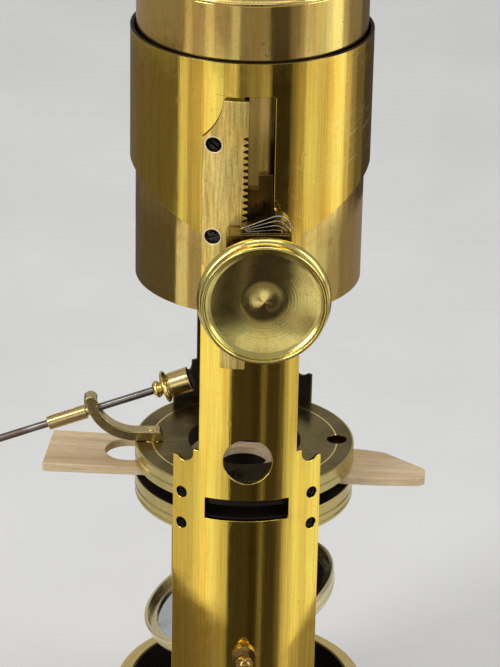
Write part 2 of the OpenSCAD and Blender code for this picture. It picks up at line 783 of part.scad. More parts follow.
// Places of the two screws that hold the carriage to the drum
carriage_screw_z = [box_z1 + 4.2, pinion_z - 3.2];
carriage_head_t = 0.45;
module at_carriage_screws() {
    x = (pillar_x0 + carriage_x1) / 2;
    for (z = carriage_screw_z) facing(asin(x / drum_r)) translate([0, 0, z]) children();
}

// Carriage: a strip that fills the slot, fixed on the drum, with two pillars to the box
module carriage() {
    notch_w = 2.3;
    notch_h = 3.1;
    pillar_r = pinion_tip_r + pillar_gap;
    color(DARK_BRASS) difference() {
        union() {
            intersection() {
                ring(tube_r, drum_r, carriage_z0, carriage_z1);
                translate([carriage_x0, -2 * tube_r, carriage_z0])
                    cube([carriage_x1 - carriage_x0, 2 * tube_r, carriage_z1 - carriage_z0]);
            }
            difference() {
                for (span = [[carriage_z0, pinion_z - pillar_r], [pinion_z + pillar_r, box_z1]])
                    translate([pillar_x0, -box_back, span[0]])
                        cube([carriage_x1 - pillar_x0, box_back - drum_r * 0.98,
                            span[1] - span[0]]);
                cylinder(r = drum_r, h = 2 * rim_z);
            }
        }
        translate([-rack_tip_x + 0.05, -2 * tube_r, carriage_z1 - notch_h])
            cube([notch_w, 2 * tube_r, notch_h + cut]);
        translate([pinion_x, 0, pinion_z]) rotate([90, 0, 0])
            cylinder(r = pivot_end_r + arbor_clearance, h = 2 * tube_r);
        at_carriage_screws() {
            radial_pin(carriage_screw_r + screw_gap, drum_r - cut, tube_r);
            radial_pin(carriage_head_r + screw_gap, tube_r - carriage_head_t - screw_gap, box_back + 4);
        }
        at_box_screws() translate([0, 0, -box_back - 0.1])
            cylinder(r = box_screw_d / 2 + screw_gap, h = box_screw_grip + 0.6);
    }
}

module carriage_screws() {
    color(BLUED) at_carriage_screws() {
        radial_pin(carriage_screw_r, drum_bore_r + 0.1, tube_r - seat_gap);
        radial_pin(carriage_head_r, tube_r - carriage_head_t, tube_r - seat_gap);
    }
}

// Places of the two screws through the box into the pillars, looking along +Y
module at_box_screws() {
    x = (pillar_x0 + carriage_x1) / 2;
    for (z = [box_z1 - 2.2, box_z0 + 1.4])
        translate([x, 0, z]) rotate([-90, 0, 0]) children();
}

// Pinion box in front of rack and pinion
module pinion_box() {
    back = box_back;
    depth = box_t - cover_t;
    color(DARK_BRASS) difference() {
        translate([box_x0, -back - depth, box_z0]) cube([box_w, depth, box_h]);
        translate([pinion_x, -back - cover_t, pinion_z]) rotate([-90, 0, 0])
            cylinder(r = pinion_tip_r + 0.3, h = 3);
        translate([pinion_x, 0, pinion_z]) rotate([90, 0, 0])
            cylinder(r = arbor_d / 2 + arbor_clearance, h = 2 * tube_r);
        at_box_screws() translate([0, 0, -2 * tube_r])
            cylinder(r = box_screw_d / 2 + screw_gap, h = 2 * tube_r);
    }
}

// Cover of the pinion box
module box_cover() {
    color(BRASS) difference() {
        translate([box_x0, -box_front, box_z0]) cube([box_w, cover_t, box_h]);
        translate([pinion_x, 0, pinion_z]) rotate([90, 0, 0])
            cylinder(r = arbor_d / 2 + arbor_clearance, h = 2 * tube_r);
        at_box_screws() translate([0, 0, -2 * tube_r])
            cylinder(r = box_screw_d / 2 + screw_gap, h = 2 * tube_r);
    }
}

module box_screws() {
    color(BLUED) at_box_screws() {
        translate([0, 0, -box_front - seat_gap])
            cylinder(r = box_screw_d / 2, h = box_t + box_screw_grip);
        translate([0, 0, -box_front - box_head_t])
            cylinder(r = box_screw_d / 2 + 0.55, h = box_head_t - seat_gap / 2);
    }
}

// Bent leaves of the pinion spring, one over the other, on top of the box
module pinion_spring() {
    leaf_w = 2.8;
    rise = 2.9;
    crest_x = box_x1 - 3.6;
    start_x = box_x0 + 3.4;
    leaf_y = -box_back - 0.3;
    chain = [[start_x, box_z1], [crest_x - 0.5, box_z1 + rise], [crest_x + 0.3, box_z1 + rise],
        [crest_x + 1.4, box_z1 + rise - 0.7], [box_x1, box_z1 + 0.3], [box_x1, box_z1 - 2.4]];
    color(STEEL) for (i = [0 : leaf_count - 1])
        translate([0, leaf_y, 0]) rotate([90, 0, 0]) linear_extrude(leaf_w)
            leaf_outline(chain, 0.03 + i * (leaf_t + 0.05));
}

// Strip of the leaf's thickness at a distance above a chain of points
module leaf_outline(p, above) {
    n = len(p);
    function side(i) = let (d = p[min(i + 1, n - 1)] - p[max(i - 1, 0)]) [-d.y, d.x] / norm(d);
    polygon(concat([for (i = [0 : n - 1]) p[i] + side(i) * above],
        [for (i = [n - 1 : -1 : 0]) p[i] + side(i) * (above + leaf_t)]));
}

// Outline of the pinion: involute flanks, a tooth pointing to -X
pivot_end_r = 1;
module pinion_outline() {
    base_r = pinion_r * cos(20);
    root_r = pinion_r - 1.2 * gear_module;
    tip_r = pinion_r + gear_module * 0.94;
    half_a = 90 / pinion_teeth + (tan(20) - 20 * PI / 180) * 180 / PI
        - backlash / 4 / pinion_r * 180 / PI;
    t1 = sqrt(pow(tip_r / base_r, 2) - 1) * 180 / PI;
    flank = [for (t = [0 : 5]) let (u = t1 * t / 5, r = base_r * sqrt(1 + pow(u * PI / 180, 2)))
        [r, half_a - (u - atan(u * PI / 180))]];
    tooth = concat([[root_r, -flank[0][1]]], [for (i = [0 : 5]) [flank[i][0], -flank[i][1]]],
        [for (i = [5 : -1 : 0]) flank[i]], [[root_r, flank[0][1]]]);
    polygon([for (k = [0 : pinion_teeth - 1], q = tooth)
        let (a = 180 + k * 360 / pinion_teeth + q[1]) q[0] * [cos(a), sin(a)]]);
}

// Steel pinion in one piece with its arbor, and its inner pivot in the carriage
module pinion() {
    color(STEEL) translate([pinion_x, 0, pinion_z]) rotate([90, 0, 0]) {
        translate([0, 0, pinion_back]) linear_extrude(pinion_front - pinion_back)
            pinion_outline();
        translate([0, 0, drum_r + 0.15]) cylinder(r = pivot_end_r, h = pinion_back - drum_r);
        translate([0, 0, pinion_front - cut / 2])
            cylinder(r = arbor_d / 2, h = arbor_end - pinion_front + cut / 2);
    }
}

// Dished knob with a rounded rim and a pip, its profile as radius over depth
module focus_knob() {
    r = knob_d / 2;
    hub_r = 3.6;
    bore = arbor_d / 2 + seat_gap;
    rim_r = 1.45;
    lip_r = 0.45;
    wall_r = r - 1.8;
    dish_r = r - 2.9;
    dish_d = 1.95;
    cone_r = 5;
    cone_h = 1.25;
    function dish_y(x) = knob_front - 1.45 - dish_d * (1 - pow(x / dish_r, 2))
        + cone_h * pow(max(0, 1 - x / cone_r), 1.5);
    color(BRASS) translate([pinion_x, 0, pinion_z]) rotate([90, 0, 0]) rotate_extrude()
        polygon(concat(
            [[bore, knob_back - 1.2], [hub_r, knob_back - 1.2], [hub_r, knob_back],
                [r - 3.4, knob_back]],
            [for (t = [-90 : 15 : 60]) [r - rim_r + rim_r * cos(t),
                knob_back + rim_r + 0.5 + rim_r * sin(t)]],
            [[r - 0.8, knob_back + 2 * rim_r + 0.45]],
            [for (t = [0 : 30 : 180]) [wall_r + 0.15 + lip_r + lip_r * cos(t),
                knob_front - lip_r + lip_r * sin(t)]],
            [[wall_r, knob_front - 0.8], [wall_r - 0.5, knob_front - 1.15]],
            [for (x = [dish_r : -0.7 : 0.1]) [x, dish_y(x)]],
            [[0, dish_y(0)], [0, arbor_end + seat_gap], [bore, arbor_end + seat_gap]]));
}

// Upper disc of the stage, with aperture, a scribed circle and two accessory holes
module stage_upper_disc() {
    color(BRASS) difference() {
        ring(disc_r, aperture_d / 2, upper_z0, stage_z);
        for (s = [-1, 1]) translate([s * socket_r, 0, upper_z0 - cut])
            cylinder(r = socket_d / 2, h = upper_disc_t + 2 * cut);
        translate([0, 0, stage_z]) rotate_extrude() translate([socket_r, 0])
            circle(0.13, $fn = 16);
        turned_line(disc_r, stage_z - upper_disc_t * 0.53);
        at_stage_screws() radial_pin(stage_shank_r + screw_gap, stage_screw_x0 - 0.3, tube_r);
    }
}

// Lower disc of the stage, with two turned lines
module stage_lower_disc() {
    color(BRASS) difference() {
        ring(disc_r, lower_aperture_d / 2, lower_z0, lower_z1);
        turned_line(disc_r, lower_z1 - lower_disc_t * 0.52);
        turned_line(disc_r, lower_z0 + 0.9);
        at_stage_screws() radial_pin(stage_shank_r + screw_gap, stage_screw_x0 - 0.3, tube_r);
    }
}

module stage_screws() {
    color(BLUED) at_stage_screws() difference() {
        union() {
            radial_pin(stage_shank_r, stage_screw_x0, bore_r);
            radial_pin(screw_head_d / 2, bore_r, tube_r - 0.12);
        }
        translate([tube_r - 0.5, -0.2, -screw_head_d]) cube([1, 0.4, 2 * screw_head_d]);
    }
}

// Two bowed leaf springs on the lower disc, which press the slider up
module slider_springs() {
    bow = spring_space - slide_spring_t - 0.1;
    span = 20;
    spring_w = 4;
    steps = 12;
    lower = [for (i = [0 : steps]) let (u = 2 * i / steps - 1)
        [u * span / 2, lower_z1 + bow * (1 - u * u)]];
    color(STEEL) for (s = [-1, 1]) translate([s * (aperture_d / 2 + 4.4), 0, 0])
        rotate([90, 0, 90]) translate([0, 0, -spring_w / 2]) linear_extrude(spring_w)
            polygon(concat(lower, [for (i = [steps : -1 : 0]) lower[i] + [0, slide_spring_t]]));
}

// Wooden slider, its rear corner cut off at the right end, with two holes
module wood_slider() {
    left = -slider_len * 0.521;
    right = left + slider_len;
    half = slider_w / 2;
    color(WOOD) rotate([0, 0, -slider_turn]) difference() {
        translate([0, 0, slider_z0]) linear_extrude(slider_t)
            polygon([[left, -half - slider_taper + 0.4], [left + 0.4, -half - slider_taper],
                [right - 24, -half + 0.4], [right - 10, -half + 0.9], [right - 1.2, -half + 1.8],
                [right, -half + 2.9], [right, -0.9], [right - 1.4, 0.4],
                [right - 9.6, half - 1.1], [right - 14, half - 0.3], [right - 19, half],
                [left + 0.4, half], [left, half - 0.4]]);
        for (x = [0, -slider_pitch]) translate([x, 0, slider_z0 - cut])
            cylinder(r = slider_hole_d / 2, h = slider_t + 2 * cut);
    }
}

// Children placed along the rod: local X runs up the rod, zero at the arm
module on_rod() {
    translate([rod_x, 0, rod_z]) rotate([0, -rod_slope, 0]) children();
}

// Curved arm of the forceps, with a flat foot on the stage and a rounded head
module forceps_arm() {
    inner_r = arm_bend_r - arm_t;
    head_a = -12;
    color(BRASS) difference() {
        union() {
            translate([0, arm_w / 2, 0]) rotate([90, 0, 0]) linear_extrude(arm_w) {
                difference() {
                    translate([bend_x, bend_z]) circle(arm_bend_r, $fn = 120);
                    translate([bend_x, bend_z]) circle(inner_r, $fn = 120);
                    translate([bend_x, bend_z - 2 * arm_bend_r])
                        square([2 * arm_bend_r, 4 * arm_bend_r]);
                    translate([bend_x, bend_z]) rotate(-head_a)
                        translate([-2 * arm_bend_r, 0]) square([4 * arm_bend_r, 2 * arm_bend_r]);
                }
                translate([bend_x - 0.01, stage_z + arm_seat])
                    polygon([[0, 0], [6.1, 0], [5.3, arm_t], [0, arm_t]]);
            }
            translate([bend_x, 0, bend_z]) rotate([0, head_a, 0])
                translate([-arm_bend_r + arm_t / 2, 0, 0]) rotate([90, 0, 0])
                    translate([0, 0, -arm_w / 2]) cylinder(r = arm_t / 2 + 0.35, h = arm_w);
        }
        on_rod() radial_pin(split_tube_d / 2 - split_wall, -8, 8);
        translate([pin_x, 0, stage_z - cut]) cylinder(r = arm_rivet_r, h = 8);
    }
}

// Pin that turns in the accessory hole, riveted in the arm's foot
module forceps_pin() {
    color(BRASS) translate([pin_x, 0, 0]) {
        translate([0, 0, upper_z0 + 0.3]) cylinder(r = socket_d / 2 - socket_clearance,
            h = upper_disc_t - 0.3 + arm_seat);
        translate([0, 0, stage_z + arm_seat]) cylinder(r = arm_rivet_r, h = arm_t + 0.15);
    }
}

// Split spring tube that grips the rod
module forceps_tube() {
    r = split_tube_d / 2;
    tongue_r = r - split_wall - seat_gap;
    color(BRASS) on_rod() difference() {
        union() {
            translate([-split_tube_len - arm_t * 0.62, 0, 0]) rotate([0, 90, 0])
                cylinder(r1 = r - 0.12, r2 = r, h = split_tube_len);
            radial_pin(tongue_r, -arm_t * 0.7, arm_t * 0.62);
        }
        radial_pin(split_bore_r, -20, 20);
        translate([-split_tube_len - arm_t * 0.62 - cut, -0.14, -r - cut])
            cube([split_tube_len - 2 + cut, 0.28, 2 * (r + cut)]);
    }
}

// Steel rod, flattened to the jaws' root at its left end
module forceps_rod() {
    color(STEEL) on_rod() difference() {
        radial_pin(rod_d / 2, -rod_left, rod_right + 4);
        for (z = [flat_t / 2, -flat_t / 2 - rod_d]) translate([-rod_left - cut, -rod_d, z])
            cube([3.4 + cut, 2 * rod_d, rod_d]);
    }
}

// Turned cup with beads at the rod's right end
cup_x0 = rod_right;
module specimen_cup() {
    r = cup_d / 2;
    bore = rod_d / 2 + seat_gap;
    depth = 4.2;
    color(BRASS) on_rod() translate([cup_x0, 0, 0]) rotate([0, 90, 0]) rotate_extrude()
        polygon(concat(
            [[bore, 0], [1.3, 0]],
            [for (t = [-60 : 30 : 60]) [1.2 + 0.75 * cos(t), 0.9 + 0.75 * sin(t)]],
            [[1.35, 1.9]],
            [for (t = [-60 : 20 : 60]) [2 + 1.75 * cos(t) * 0.95, 2.9 + 0.7 * sin(t)]],
            [[r - 0.4, 3.8], [r - 0.15, 4.2], [r, 8], [r, 8.6], [r - 0.6, 8.6],
                [r - 0.6, 8.6 - depth], [bore, 8.6 - depth]]));
}

// Dark plug in the cup
module specimen_plug() {
    color(BLUED) on_rod() translate([cup_x0, 0, 0])
        radial_pin(cup_d / 2 - 0.6 - seat_gap, 4.6, 9.1);
}

// One spring blade above the rod's flat, from its root to the meeting tips
module jaw_blade() {
    root = -rod_left + 3.2;
    tip = root - jaw_len;
    translate([0, jaw_w / 2, 0]) rotate([90, 0, 0]) linear_extrude(jaw_w)
        polygon([[root, jaw_z], [root - 3.4, jaw_z], [root - 7, 1.5], [tip + 5, 1.2],
            [tip + 1, 0.06], [tip, 0.06], [tip, 0.5], [tip + 1.4, 0.6], [tip + 5, 1.2 + jaw_t],
            [root - 7, 1.5 + jaw_t], [root - 3.2, jaw_z + jaw_t], [root, jaw_z + jaw_t]]);
}

module jaw_upper() {
    color(STEEL) on_rod() difference() {
        jaw_blade();
        at_rivet() cylinder(r = rivet_r + rivet_gap, h = 6, center = true);
    }
}

module jaw_lower() {
    color(STEEL) on_rod() difference() {
        mirror([0, 0, 1]) jaw_blade();
        at_rivet() cylinder(r = rivet_r + rivet_gap, h = 6, center = true);
    }
}

// Rivet through both blades and the rod's flat
rivet_r = 0.45;
rivet_gap = 0.06;
rivet_play = 0.26;
module at_rivet() {
    translate([-rod_left + 1.6, 0, 0]) children();
}

module jaw_rivet() {
    color(BRASS) on_rod() at_rivet() {
        for (s = [0, 1]) mirror([0, 0, s]) {
            translate([0, 0, jaw_z + jaw_t + rivet_play]) cylinder(r = 0.8, h = 0.35);
            translate([0, 0, flat_t / 2]) cylinder(r = rivet_r, h = jaw_t + rivet_play + 0.1);
        }
    }
}

// Children in the mirror's own frame: pivots at the origin, its face towards +Z
module on_mirror() {
    translate([0, 0, mirror_h]) rotate([0, -mirror_tilt, 0]) children();
}

// Deep turned cell of the mirror, with two blind centres for the pivot points
cell_z0 = -mirror_cell_t / 2;
cell_z1 = mirror_cell_t / 2;
module mirror_cell() {
    r = mirror_r;
    color(BRASS) on_mirror() difference() {
        rotate_extrude() polygon([[0, cell_z0], [r - 2.2, cell_z0], [r - 1.1, cell_z0 + 0.5],
            [r - 0.7, cell_z0 + 1.2], [r - 0.5, cell_z0 + 1.9], [r - 0.7, cell_z0 + 2.1],
            [r - 0.35, cell_z0 + 2.3], [r - 0.2, cell_z0 + 3.7], [r - 0.45, cell_z0 + 3.9],
            [r, cell_z0 + 4.2], [r, cell_z1 - 0.2], [r - 0.2, cell_z1],
            [r - mirror_wall, cell_z1], [r - mirror_wall, cell_z0 + mirror_back_t + 1.6],
            [r - mirror_wall - 1.4, cell_z0 + mirror_back_t + 1.2],
            [r - mirror_wall - 1.4, cell_z0 + mirror_back_t], [0, cell_z0 + mirror_back_t]]);
        for (a = [0, 180]) facing(a)
            radial_pin(pivot_point_d / 2 + pivot_clearance, r - mirror_wall - 1.3, r + cut);
    }
}

// Silvered glass of the mirror, slightly hollow
module mirror_glass() {
    r = mirror_r - mirror_wall - 1.4 - 0.05;
    z = cell_z0 + mirror_back_t + 0.05;
    hollow = 0.5;
    color(GLASS) on_mirror() rotate_extrude() polygon(concat([[0, z], [r, z]],
        [for (i = [8 : -1 : 0]) [r * i / 8, z + mirror_glass_t - hollow * (1 - pow(i / 8, 2))]]));
}

// Thin ring that keeps the glass in the cell
module mirror_ring() {
    r = mirror_r - mirror_wall - seat_gap;
    z = cell_z0 + mirror_back_t + mirror_glass_t + 0.1;
    color(BRASS) on_mirror() difference() {
        ring(r, r - 1.8, z, z + 0.6);
        for (a = [0, 180]) facing(a) radial_pin(pivot_point_d / 2 + 0.2, r - 3, r + cut);
    }
}

// Two turned pivot screws through the limbs, whose points carry the mirror
pivot_screw_r = 1.1;
module mirror_pivots() {
    reach = pivot_r - 0.6;
    color(BRASS) for (a = [0, 180]) facing(a) translate([0, 0, mirror_h]) rotate([0, 90, 0])
        rotate_extrude() polygon(concat(
            [[0, reach], [pivot_point_d / 2 - 0.2, reach],
                [pivot_point_d / 2, reach + 0.3], [pivot_point_d / 2, mirror_r + 0.6],
                [pivot_screw_r, mirror_r + 1], [pivot_screw_r, tube_r + 0.05],
                [2.6, tube_r + 0.05], [2.75, tube_r + 0.4], [2.6, tube_r + 0.9],
                [1.2, tube_r + 1.3], [1, tube_r + 2]],
            [for (t = [-60 : 20 : 80]) [1.9 * cos(t), tube_r + 3.9 + 1.9 * sin(t)]],
            [[0, tube_r + 6.1]]));
}

limb_tube();
guide_rings();
rack();
rack_screws();
foot_ring();
foot_weight();
foot_plate();
foot_plate_screws();
tube_screws();
body_drum();
drum_plate();
drum_stop();
snout();
objective_cell();
objective_lens();
objective_ring();
drum_cap();
draw_tube();
field_cell();
field_lens();
eye_cell();
eye_lens();
eyecap();
eye_shutter();
shutter_screw();
carriage();
carriage_screws();
pinion_box();
box_cover();
box_screws();
pinion_spring();
pinion();
focus_knob();
stage_upper_disc();
stage_lower_disc();
stage_screws();
slider_springs();
wood_slider();
forceps_arm();
forceps_pin();
forceps_tube();
forceps_rod();
specimen_cup();
specimen_plug();
jaw_upper();
jaw_lower();
jaw_rivet();
mirror_cell();
mirror_glass();
mirror_ring();
mirror_pivots();
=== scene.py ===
"""Drum microscope in old brass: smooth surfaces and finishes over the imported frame.

Lengths are millimetres in the shape functions and become metres in piece().
A shape is a set of points, outward normals and faces, all worked out as arrays.
"""
import math

import bpy
import numpy as np
from mathutils import Matrix, Vector
from mathutils.geometry import delaunay_2d_cdt


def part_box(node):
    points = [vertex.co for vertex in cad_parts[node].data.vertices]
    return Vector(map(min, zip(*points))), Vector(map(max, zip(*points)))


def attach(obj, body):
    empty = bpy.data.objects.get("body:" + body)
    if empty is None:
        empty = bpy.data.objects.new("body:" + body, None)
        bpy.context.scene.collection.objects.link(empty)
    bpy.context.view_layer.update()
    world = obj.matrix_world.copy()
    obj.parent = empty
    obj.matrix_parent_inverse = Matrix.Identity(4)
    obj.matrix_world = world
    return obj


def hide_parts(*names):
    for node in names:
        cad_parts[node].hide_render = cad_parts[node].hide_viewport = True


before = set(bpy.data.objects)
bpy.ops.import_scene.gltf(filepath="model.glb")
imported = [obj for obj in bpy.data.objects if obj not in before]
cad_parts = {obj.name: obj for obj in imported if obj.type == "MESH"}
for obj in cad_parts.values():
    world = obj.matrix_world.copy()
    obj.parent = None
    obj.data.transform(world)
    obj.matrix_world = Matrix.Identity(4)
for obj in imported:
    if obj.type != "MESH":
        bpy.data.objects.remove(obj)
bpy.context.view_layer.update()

MM = 0.001
EASE = 0.12
PHOTO_SIZE = (500, 667)


def box_mm(node):
    """Lowest and highest corner of a CAD node, in millimetres."""
    return np.array(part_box(node)) / MM


# Driving sizes, read off the frame where a node shows them
TUBE_R, _, RIM_Z = box_mm("limb_tube")[1]
BORE_R = TUBE_R - 0.8
DISC_R, _, STAGE_Z = box_mm("stage_upper_disc")[1]
ACCESSORY_R = DISC_R - 3.85
APERTURE_R = 12.6
FOOT_R, _, FOOT_H = box_mm("foot_ring")[1]
DRUM_R, _, DRUM_Z1 = box_mm("body_drum")[1]
DRUM_Z0 = box_mm("body_drum")[0][2]
DRUM_BORE_R = DRUM_R - 0.8
RACK_R = TUBE_R + 1.2
RACK_TIP_X = -1.2
RACK_Z0, RACK_Z1 = box_mm("rack")[:, 2]
RACK_W, RACK_NARROW_W = 9.5, 5.2
SCALLOP_R, SCALLOP_STEPS = 13, 24
RACK_SCREW_X = -RACK_W + 2.3 + RACK_TIP_X
RACK_SCREW_HEIGHTS = (RACK_Z1 - 9.9, RACK_Z1 - 30.5)
GEAR_MODULE, PINION_TEETH = 0.45, 18
PINION_R = GEAR_MODULE * PINION_TEETH / 2
PRESSURE_ANGLE = math.radians(20)
PINION_X = RACK_TIP_X - GEAR_MODULE + PINION_R
PINION_Z = STAGE_Z + 50.2
SLOT_X = (RACK_TIP_X - GEAR_MODULE * 2.25, 4.4)
PINION_SLOT = (PINION_Z - 18.7, RIM_Z - 7.2)
SPRING_FRONT = box_mm("pinion_spring")[0][1]


def added(name, data):
    """New object in the scene."""
    made = bpy.data.objects.new(name, data)
    bpy.context.scene.collection.objects.link(made)
    return made


def camera_at_photo_angle():
    """Camera where the photograph was taken: 657 mm from a point on the object, 24.7 degrees up."""
    distance, target, focal_px = 657.39, Vector((0.79, 0, 114.18)), 2953.14
    swing, rise, roll = -0.0336, 0.4317, 0.0202
    back = Vector((math.sin(swing) * math.cos(rise), -math.cos(swing) * math.cos(rise),
                   math.sin(rise)))
    right = (-back).cross(Vector((0, 0, 1))).normalized()
    up = right.cross(-back)
    right, up = (right * math.cos(roll) + up * math.sin(roll),
                 up * math.cos(roll) - right * math.sin(roll))
    lens = bpy.data.cameras.new("camera")
    lens.sensor_width = 36
    lens.lens = focal_px / max(PHOTO_SIZE) * lens.sensor_width
    camera = added("camera", lens)
    camera.matrix_world = Matrix.Translation((target + back * distance) * MM) @ Matrix(
        (right, up, back)).transposed().to_4x4()
    bpy.context.scene.camera = camera


camera_at_photo_angle()


# Shapes

def pairs(*columns):
    """Columns of numbers side by side, as points."""
    return np.stack(np.broadcast_arrays(*columns), -1)


def unit(v):
    """Each row divided by its length."""
    return v / np.maximum(np.linalg.norm(v, axis=-1, keepdims=True), 1e-12)


def eased(points, radius=EASE, arcs=3, closed=True, hole=False):
    """Outline whose corners are arcs, with its outward normals.

    At a corner where the travel turns by t, the arc leaves the side r*tan(t/2) before the
    corner, and its direction is the first side's turned by a growing share of t. Material
    is left of the travel, so outward is the direction turned right.
    """
    p = np.asarray(points, float)
    r = np.broadcast_to(np.asarray(radius, float), len(p))
    x, y = p.T
    if (np.sum(x * np.roll(y, -1) - np.roll(x, -1) * y) < 0) != hole:
        p, r = p[::-1], r[::-1]
    into, out = p - np.roll(p, 1, 0), np.roll(p, -1, 0) - p
    if not closed:
        into[0], out[-1] = out[0], into[-1]
    short = np.minimum(np.linalg.norm(into, axis=1), np.linalg.norm(out, axis=1))
    a, b = unit(into), unit(out)
    turn = np.arctan2(a[:, 0] * b[:, 1] - a[:, 1] * b[:, 0], np.sum(a * b, 1))
    bend = np.tan(np.abs(turn) / 2)
    back = np.minimum(r * bend, 0.45 * short)[:, None, None]
    arc_r = back / np.maximum(bend, 1e-9)[:, None, None]
    angle = np.abs(turn)[:, None, None] * np.linspace(0, 1, arcs + 1)[None, :, None]
    side = (pairs(-a[:, 1], a[:, 0]) * np.sign(turn)[:, None])[:, None]
    p, a = p[:, None], a[:, None]
    where = p - a * back + arc_r * (np.sin(angle) * a + (1 - np.cos(angle)) * side)
    heading = a * np.cos(angle) + side * np.sin(angle)
    where, heading = where.reshape(-1, 2), heading.reshape(-1, 2)
    keep = np.linalg.norm(where - np.roll(where, 1, 0), axis=1) > 1e-4
    keep[0] = keep[0] or not closed
    return where[keep], pairs(heading[:, 1], -heading[:, 0])[keep]


def arc(cx, cy, r, first, last, count=12):
    """Points on a circle from one angle to another, in degrees; with two radii, on an oval."""
    a = np.radians(np.linspace(first, last, count + 1))
    return [cx, cy] + np.broadcast_to(r, 2) * pairs(np.cos(a), np.sin(a))


def chain(*parts):
    """Points and runs of points, one after the other."""
    return np.concatenate([np.atleast_2d(np.asarray(part, float)) for part in parts])


def box_outline(x0, x1, y0, y1):
    """The four corners of a rectangle."""
    return [(x0, y0), (x1, y0), (x1, y1), (x0, y1)]


def hole(points, radius, arcs=3):
    """Hole with an outline of any shape, its corners eased."""
    return eased(points, radius, arcs, hole=True)


def round_hole(u, v, radius, count=36):
    """Round hole: points on a circle, and normals towards its middle."""
    a = np.linspace(0, -2 * np.pi, count, endpoint=False)
    way = pairs(np.cos(a), np.sin(a))
    return way * radius + [u, v], -way


def spun(degrees, axis="Z"):
    """Matrix that turns about an axis through the origin."""
    return Matrix.Rotation(math.radians(degrees), 4, axis)


def shifted(x, y, z):
    """Matrix that moves by a length along each axis."""
    return Matrix.Translation((x, y, z))


def towards_front(x, z):
    """Matrix that points a shape's axis to the front, through a place in X Z."""
    return shifted(x, 0, z) @ spun(90, "X")


def outwards(angle, z):
    """Matrix that points a shape's axis out of the tube, at an angle from the front in degrees."""
    return shifted(0, 0, z) @ spun(angle) @ spun(90, "X")


def placed(shape, at):
    """A shape moved by a matrix that only turns and shifts."""
    points, normals, faces = shape
    turn = np.array(at.to_3x3())
    return points @ turn.T + np.array(at.to_translation()), normals @ turn.T, faces


def joined(*shapes):
    """Several shapes as one."""
    points, normals, faces = zip(*shapes)
    starts = np.cumsum([0] + [len(some) for some in points[:-1]])
    return (np.concatenate(points), np.concatenate(normals),
            np.concatenate([some + start for some, start in zip(faces, starts)]))


def welded(points, normals, faces):
    """The same shape with the vertices that share a place made one."""
    _, first, which = np.unique(np.round(points, 4), axis=0, return_index=True,
                                return_inverse=True)
    which = which.reshape(-1)
    total = np.zeros((len(first), 3))
    np.add.at(total, which, normals)
    return points[first], unit(total), which[faces]


def grid_faces(rows, columns, wrap_rows, wrap_columns):
    """Four-sided faces between neighbours on a grid of vertices, numbered row by row."""
    i, j = np.meshgrid(np.arange(rows - (not wrap_rows)),
                       np.arange(columns - (not wrap_columns)), indexing="ij")
    i, j = i.ravel(), j.ravel()
    i2, j2 = (i + 1) % rows, (j + 1) % columns
    return pairs(i * columns + j, i2 * columns + j, i2 * columns + j2, i * columns + j2)


def turned(parts, ease=EASE, arcs=3, closed=True, count=160, at=Matrix()):
    """Turned shape: a profile of radius and height carried round the axis.

    A point at radius r and angle a lies at r*cos(a), r*sin(a). An open profile starts and
    ends on the axis.
    """
    profile, out = eased(chain(*parts), ease, arcs, closed)
    a = np.linspace(0, 2 * np.pi, count, endpoint=False)
    radius, rim = np.maximum(profile[:, :1], 0), np.where(profile[:, :1] < 1e-6, 0, out[:, :1])
    spots = pairs(radius * np.cos(a), radius * np.sin(a), profile[:, 1:])
    ways = pairs(rim * np.cos(a), rim * np.sin(a), out[:, 1:])
    faces = grid_faces(len(profile), count, closed, True)
    return placed(welded(spots.reshape(-1, 3), ways.reshape(-1, 3), faces), at)


def solid(parts, ease=EASE, **more):
    """Turned shape that starts and ends on the axis."""
    return turned(parts, ease, closed=False, **more)


def laid(spots, *ways):
    """Places, and three ways at each: along u, along v and out of the sheet."""
    return spots, *(np.broadcast_to(way, spots.shape) for way in ways)


def flat_lay(u, v, w):
    """Lays a sheet flat: u is X, v is Y and w is Z."""
    return laid(pairs(u, v, w), *np.eye(3))


def facing(y=0.0):
    """Lays a sheet upright, its face to the front: u is X, v is Z and w is how far before y."""
    return lambda u, v, w: laid(pairs(u, y - w, v), (1.0, 0, 0), (0, 0, 1.0), (0, -1.0, 0))


def front_lay(u, v, w):
    """Lays a sheet on a round wall of radius w as seen from the front: u is X and v is Z."""
    depth = np.sqrt(w * w - u * u)
    return laid(pairs(u, -depth, v), (1.0, 0, 0), (0, 0, 1.0), pairs(u / w, -depth / w, 0))


def round_lay(radius):
    """Bends a sheet round Z: u is arc length at the radius, from the front, and w is a radius."""
    def lay(u, v, w):
        s, c = np.sin(u / radius), np.cos(u / radius)
        return laid(pairs(s * w, -c * w, v), pairs(c, s, 0), (0, 0, 1.0), pairs(s, -c, 0))
    return lay


def inside(spots, outlines):
    """Which spots lie inside an odd number of the outlines."""
    hits = np.zeros(len(spots), int)
    x, y = spots[:, :1], spots[:, 1:]
    for outline in outlines:
        (x1, y1), (x2, y2) = outline.T, np.roll(outline, -1, 0).T
        crosses = (y1 > y) != (y2 > y)
        rise = np.where(y2 == y1, 1, y2 - y1)
        hits += np.sum(crosses & (x < x1 + (y - y1) * (x2 - x1) / rise), 1)
    return hits % 2 == 1


def finer(outline, step):
    """The outline with points put in so that none are further apart than the step."""
    points, normals = outline
    gap = np.linalg.norm(np.roll(points, -1, 0) - points, axis=1)
    parts = np.maximum(np.ceil(gap / step).astype(int), 1)
    which = np.repeat(np.arange(len(points)), parts)
    share = (np.arange(len(which)) - np.repeat(np.cumsum(parts) - parts, parts)) / parts[which]
    share, nxt = share[:, None], (which + 1) % len(points)
    return (points[which] * (1 - share) + points[nxt] * share,
            unit(normals[which] * (1 - share) + normals[nxt] * share))


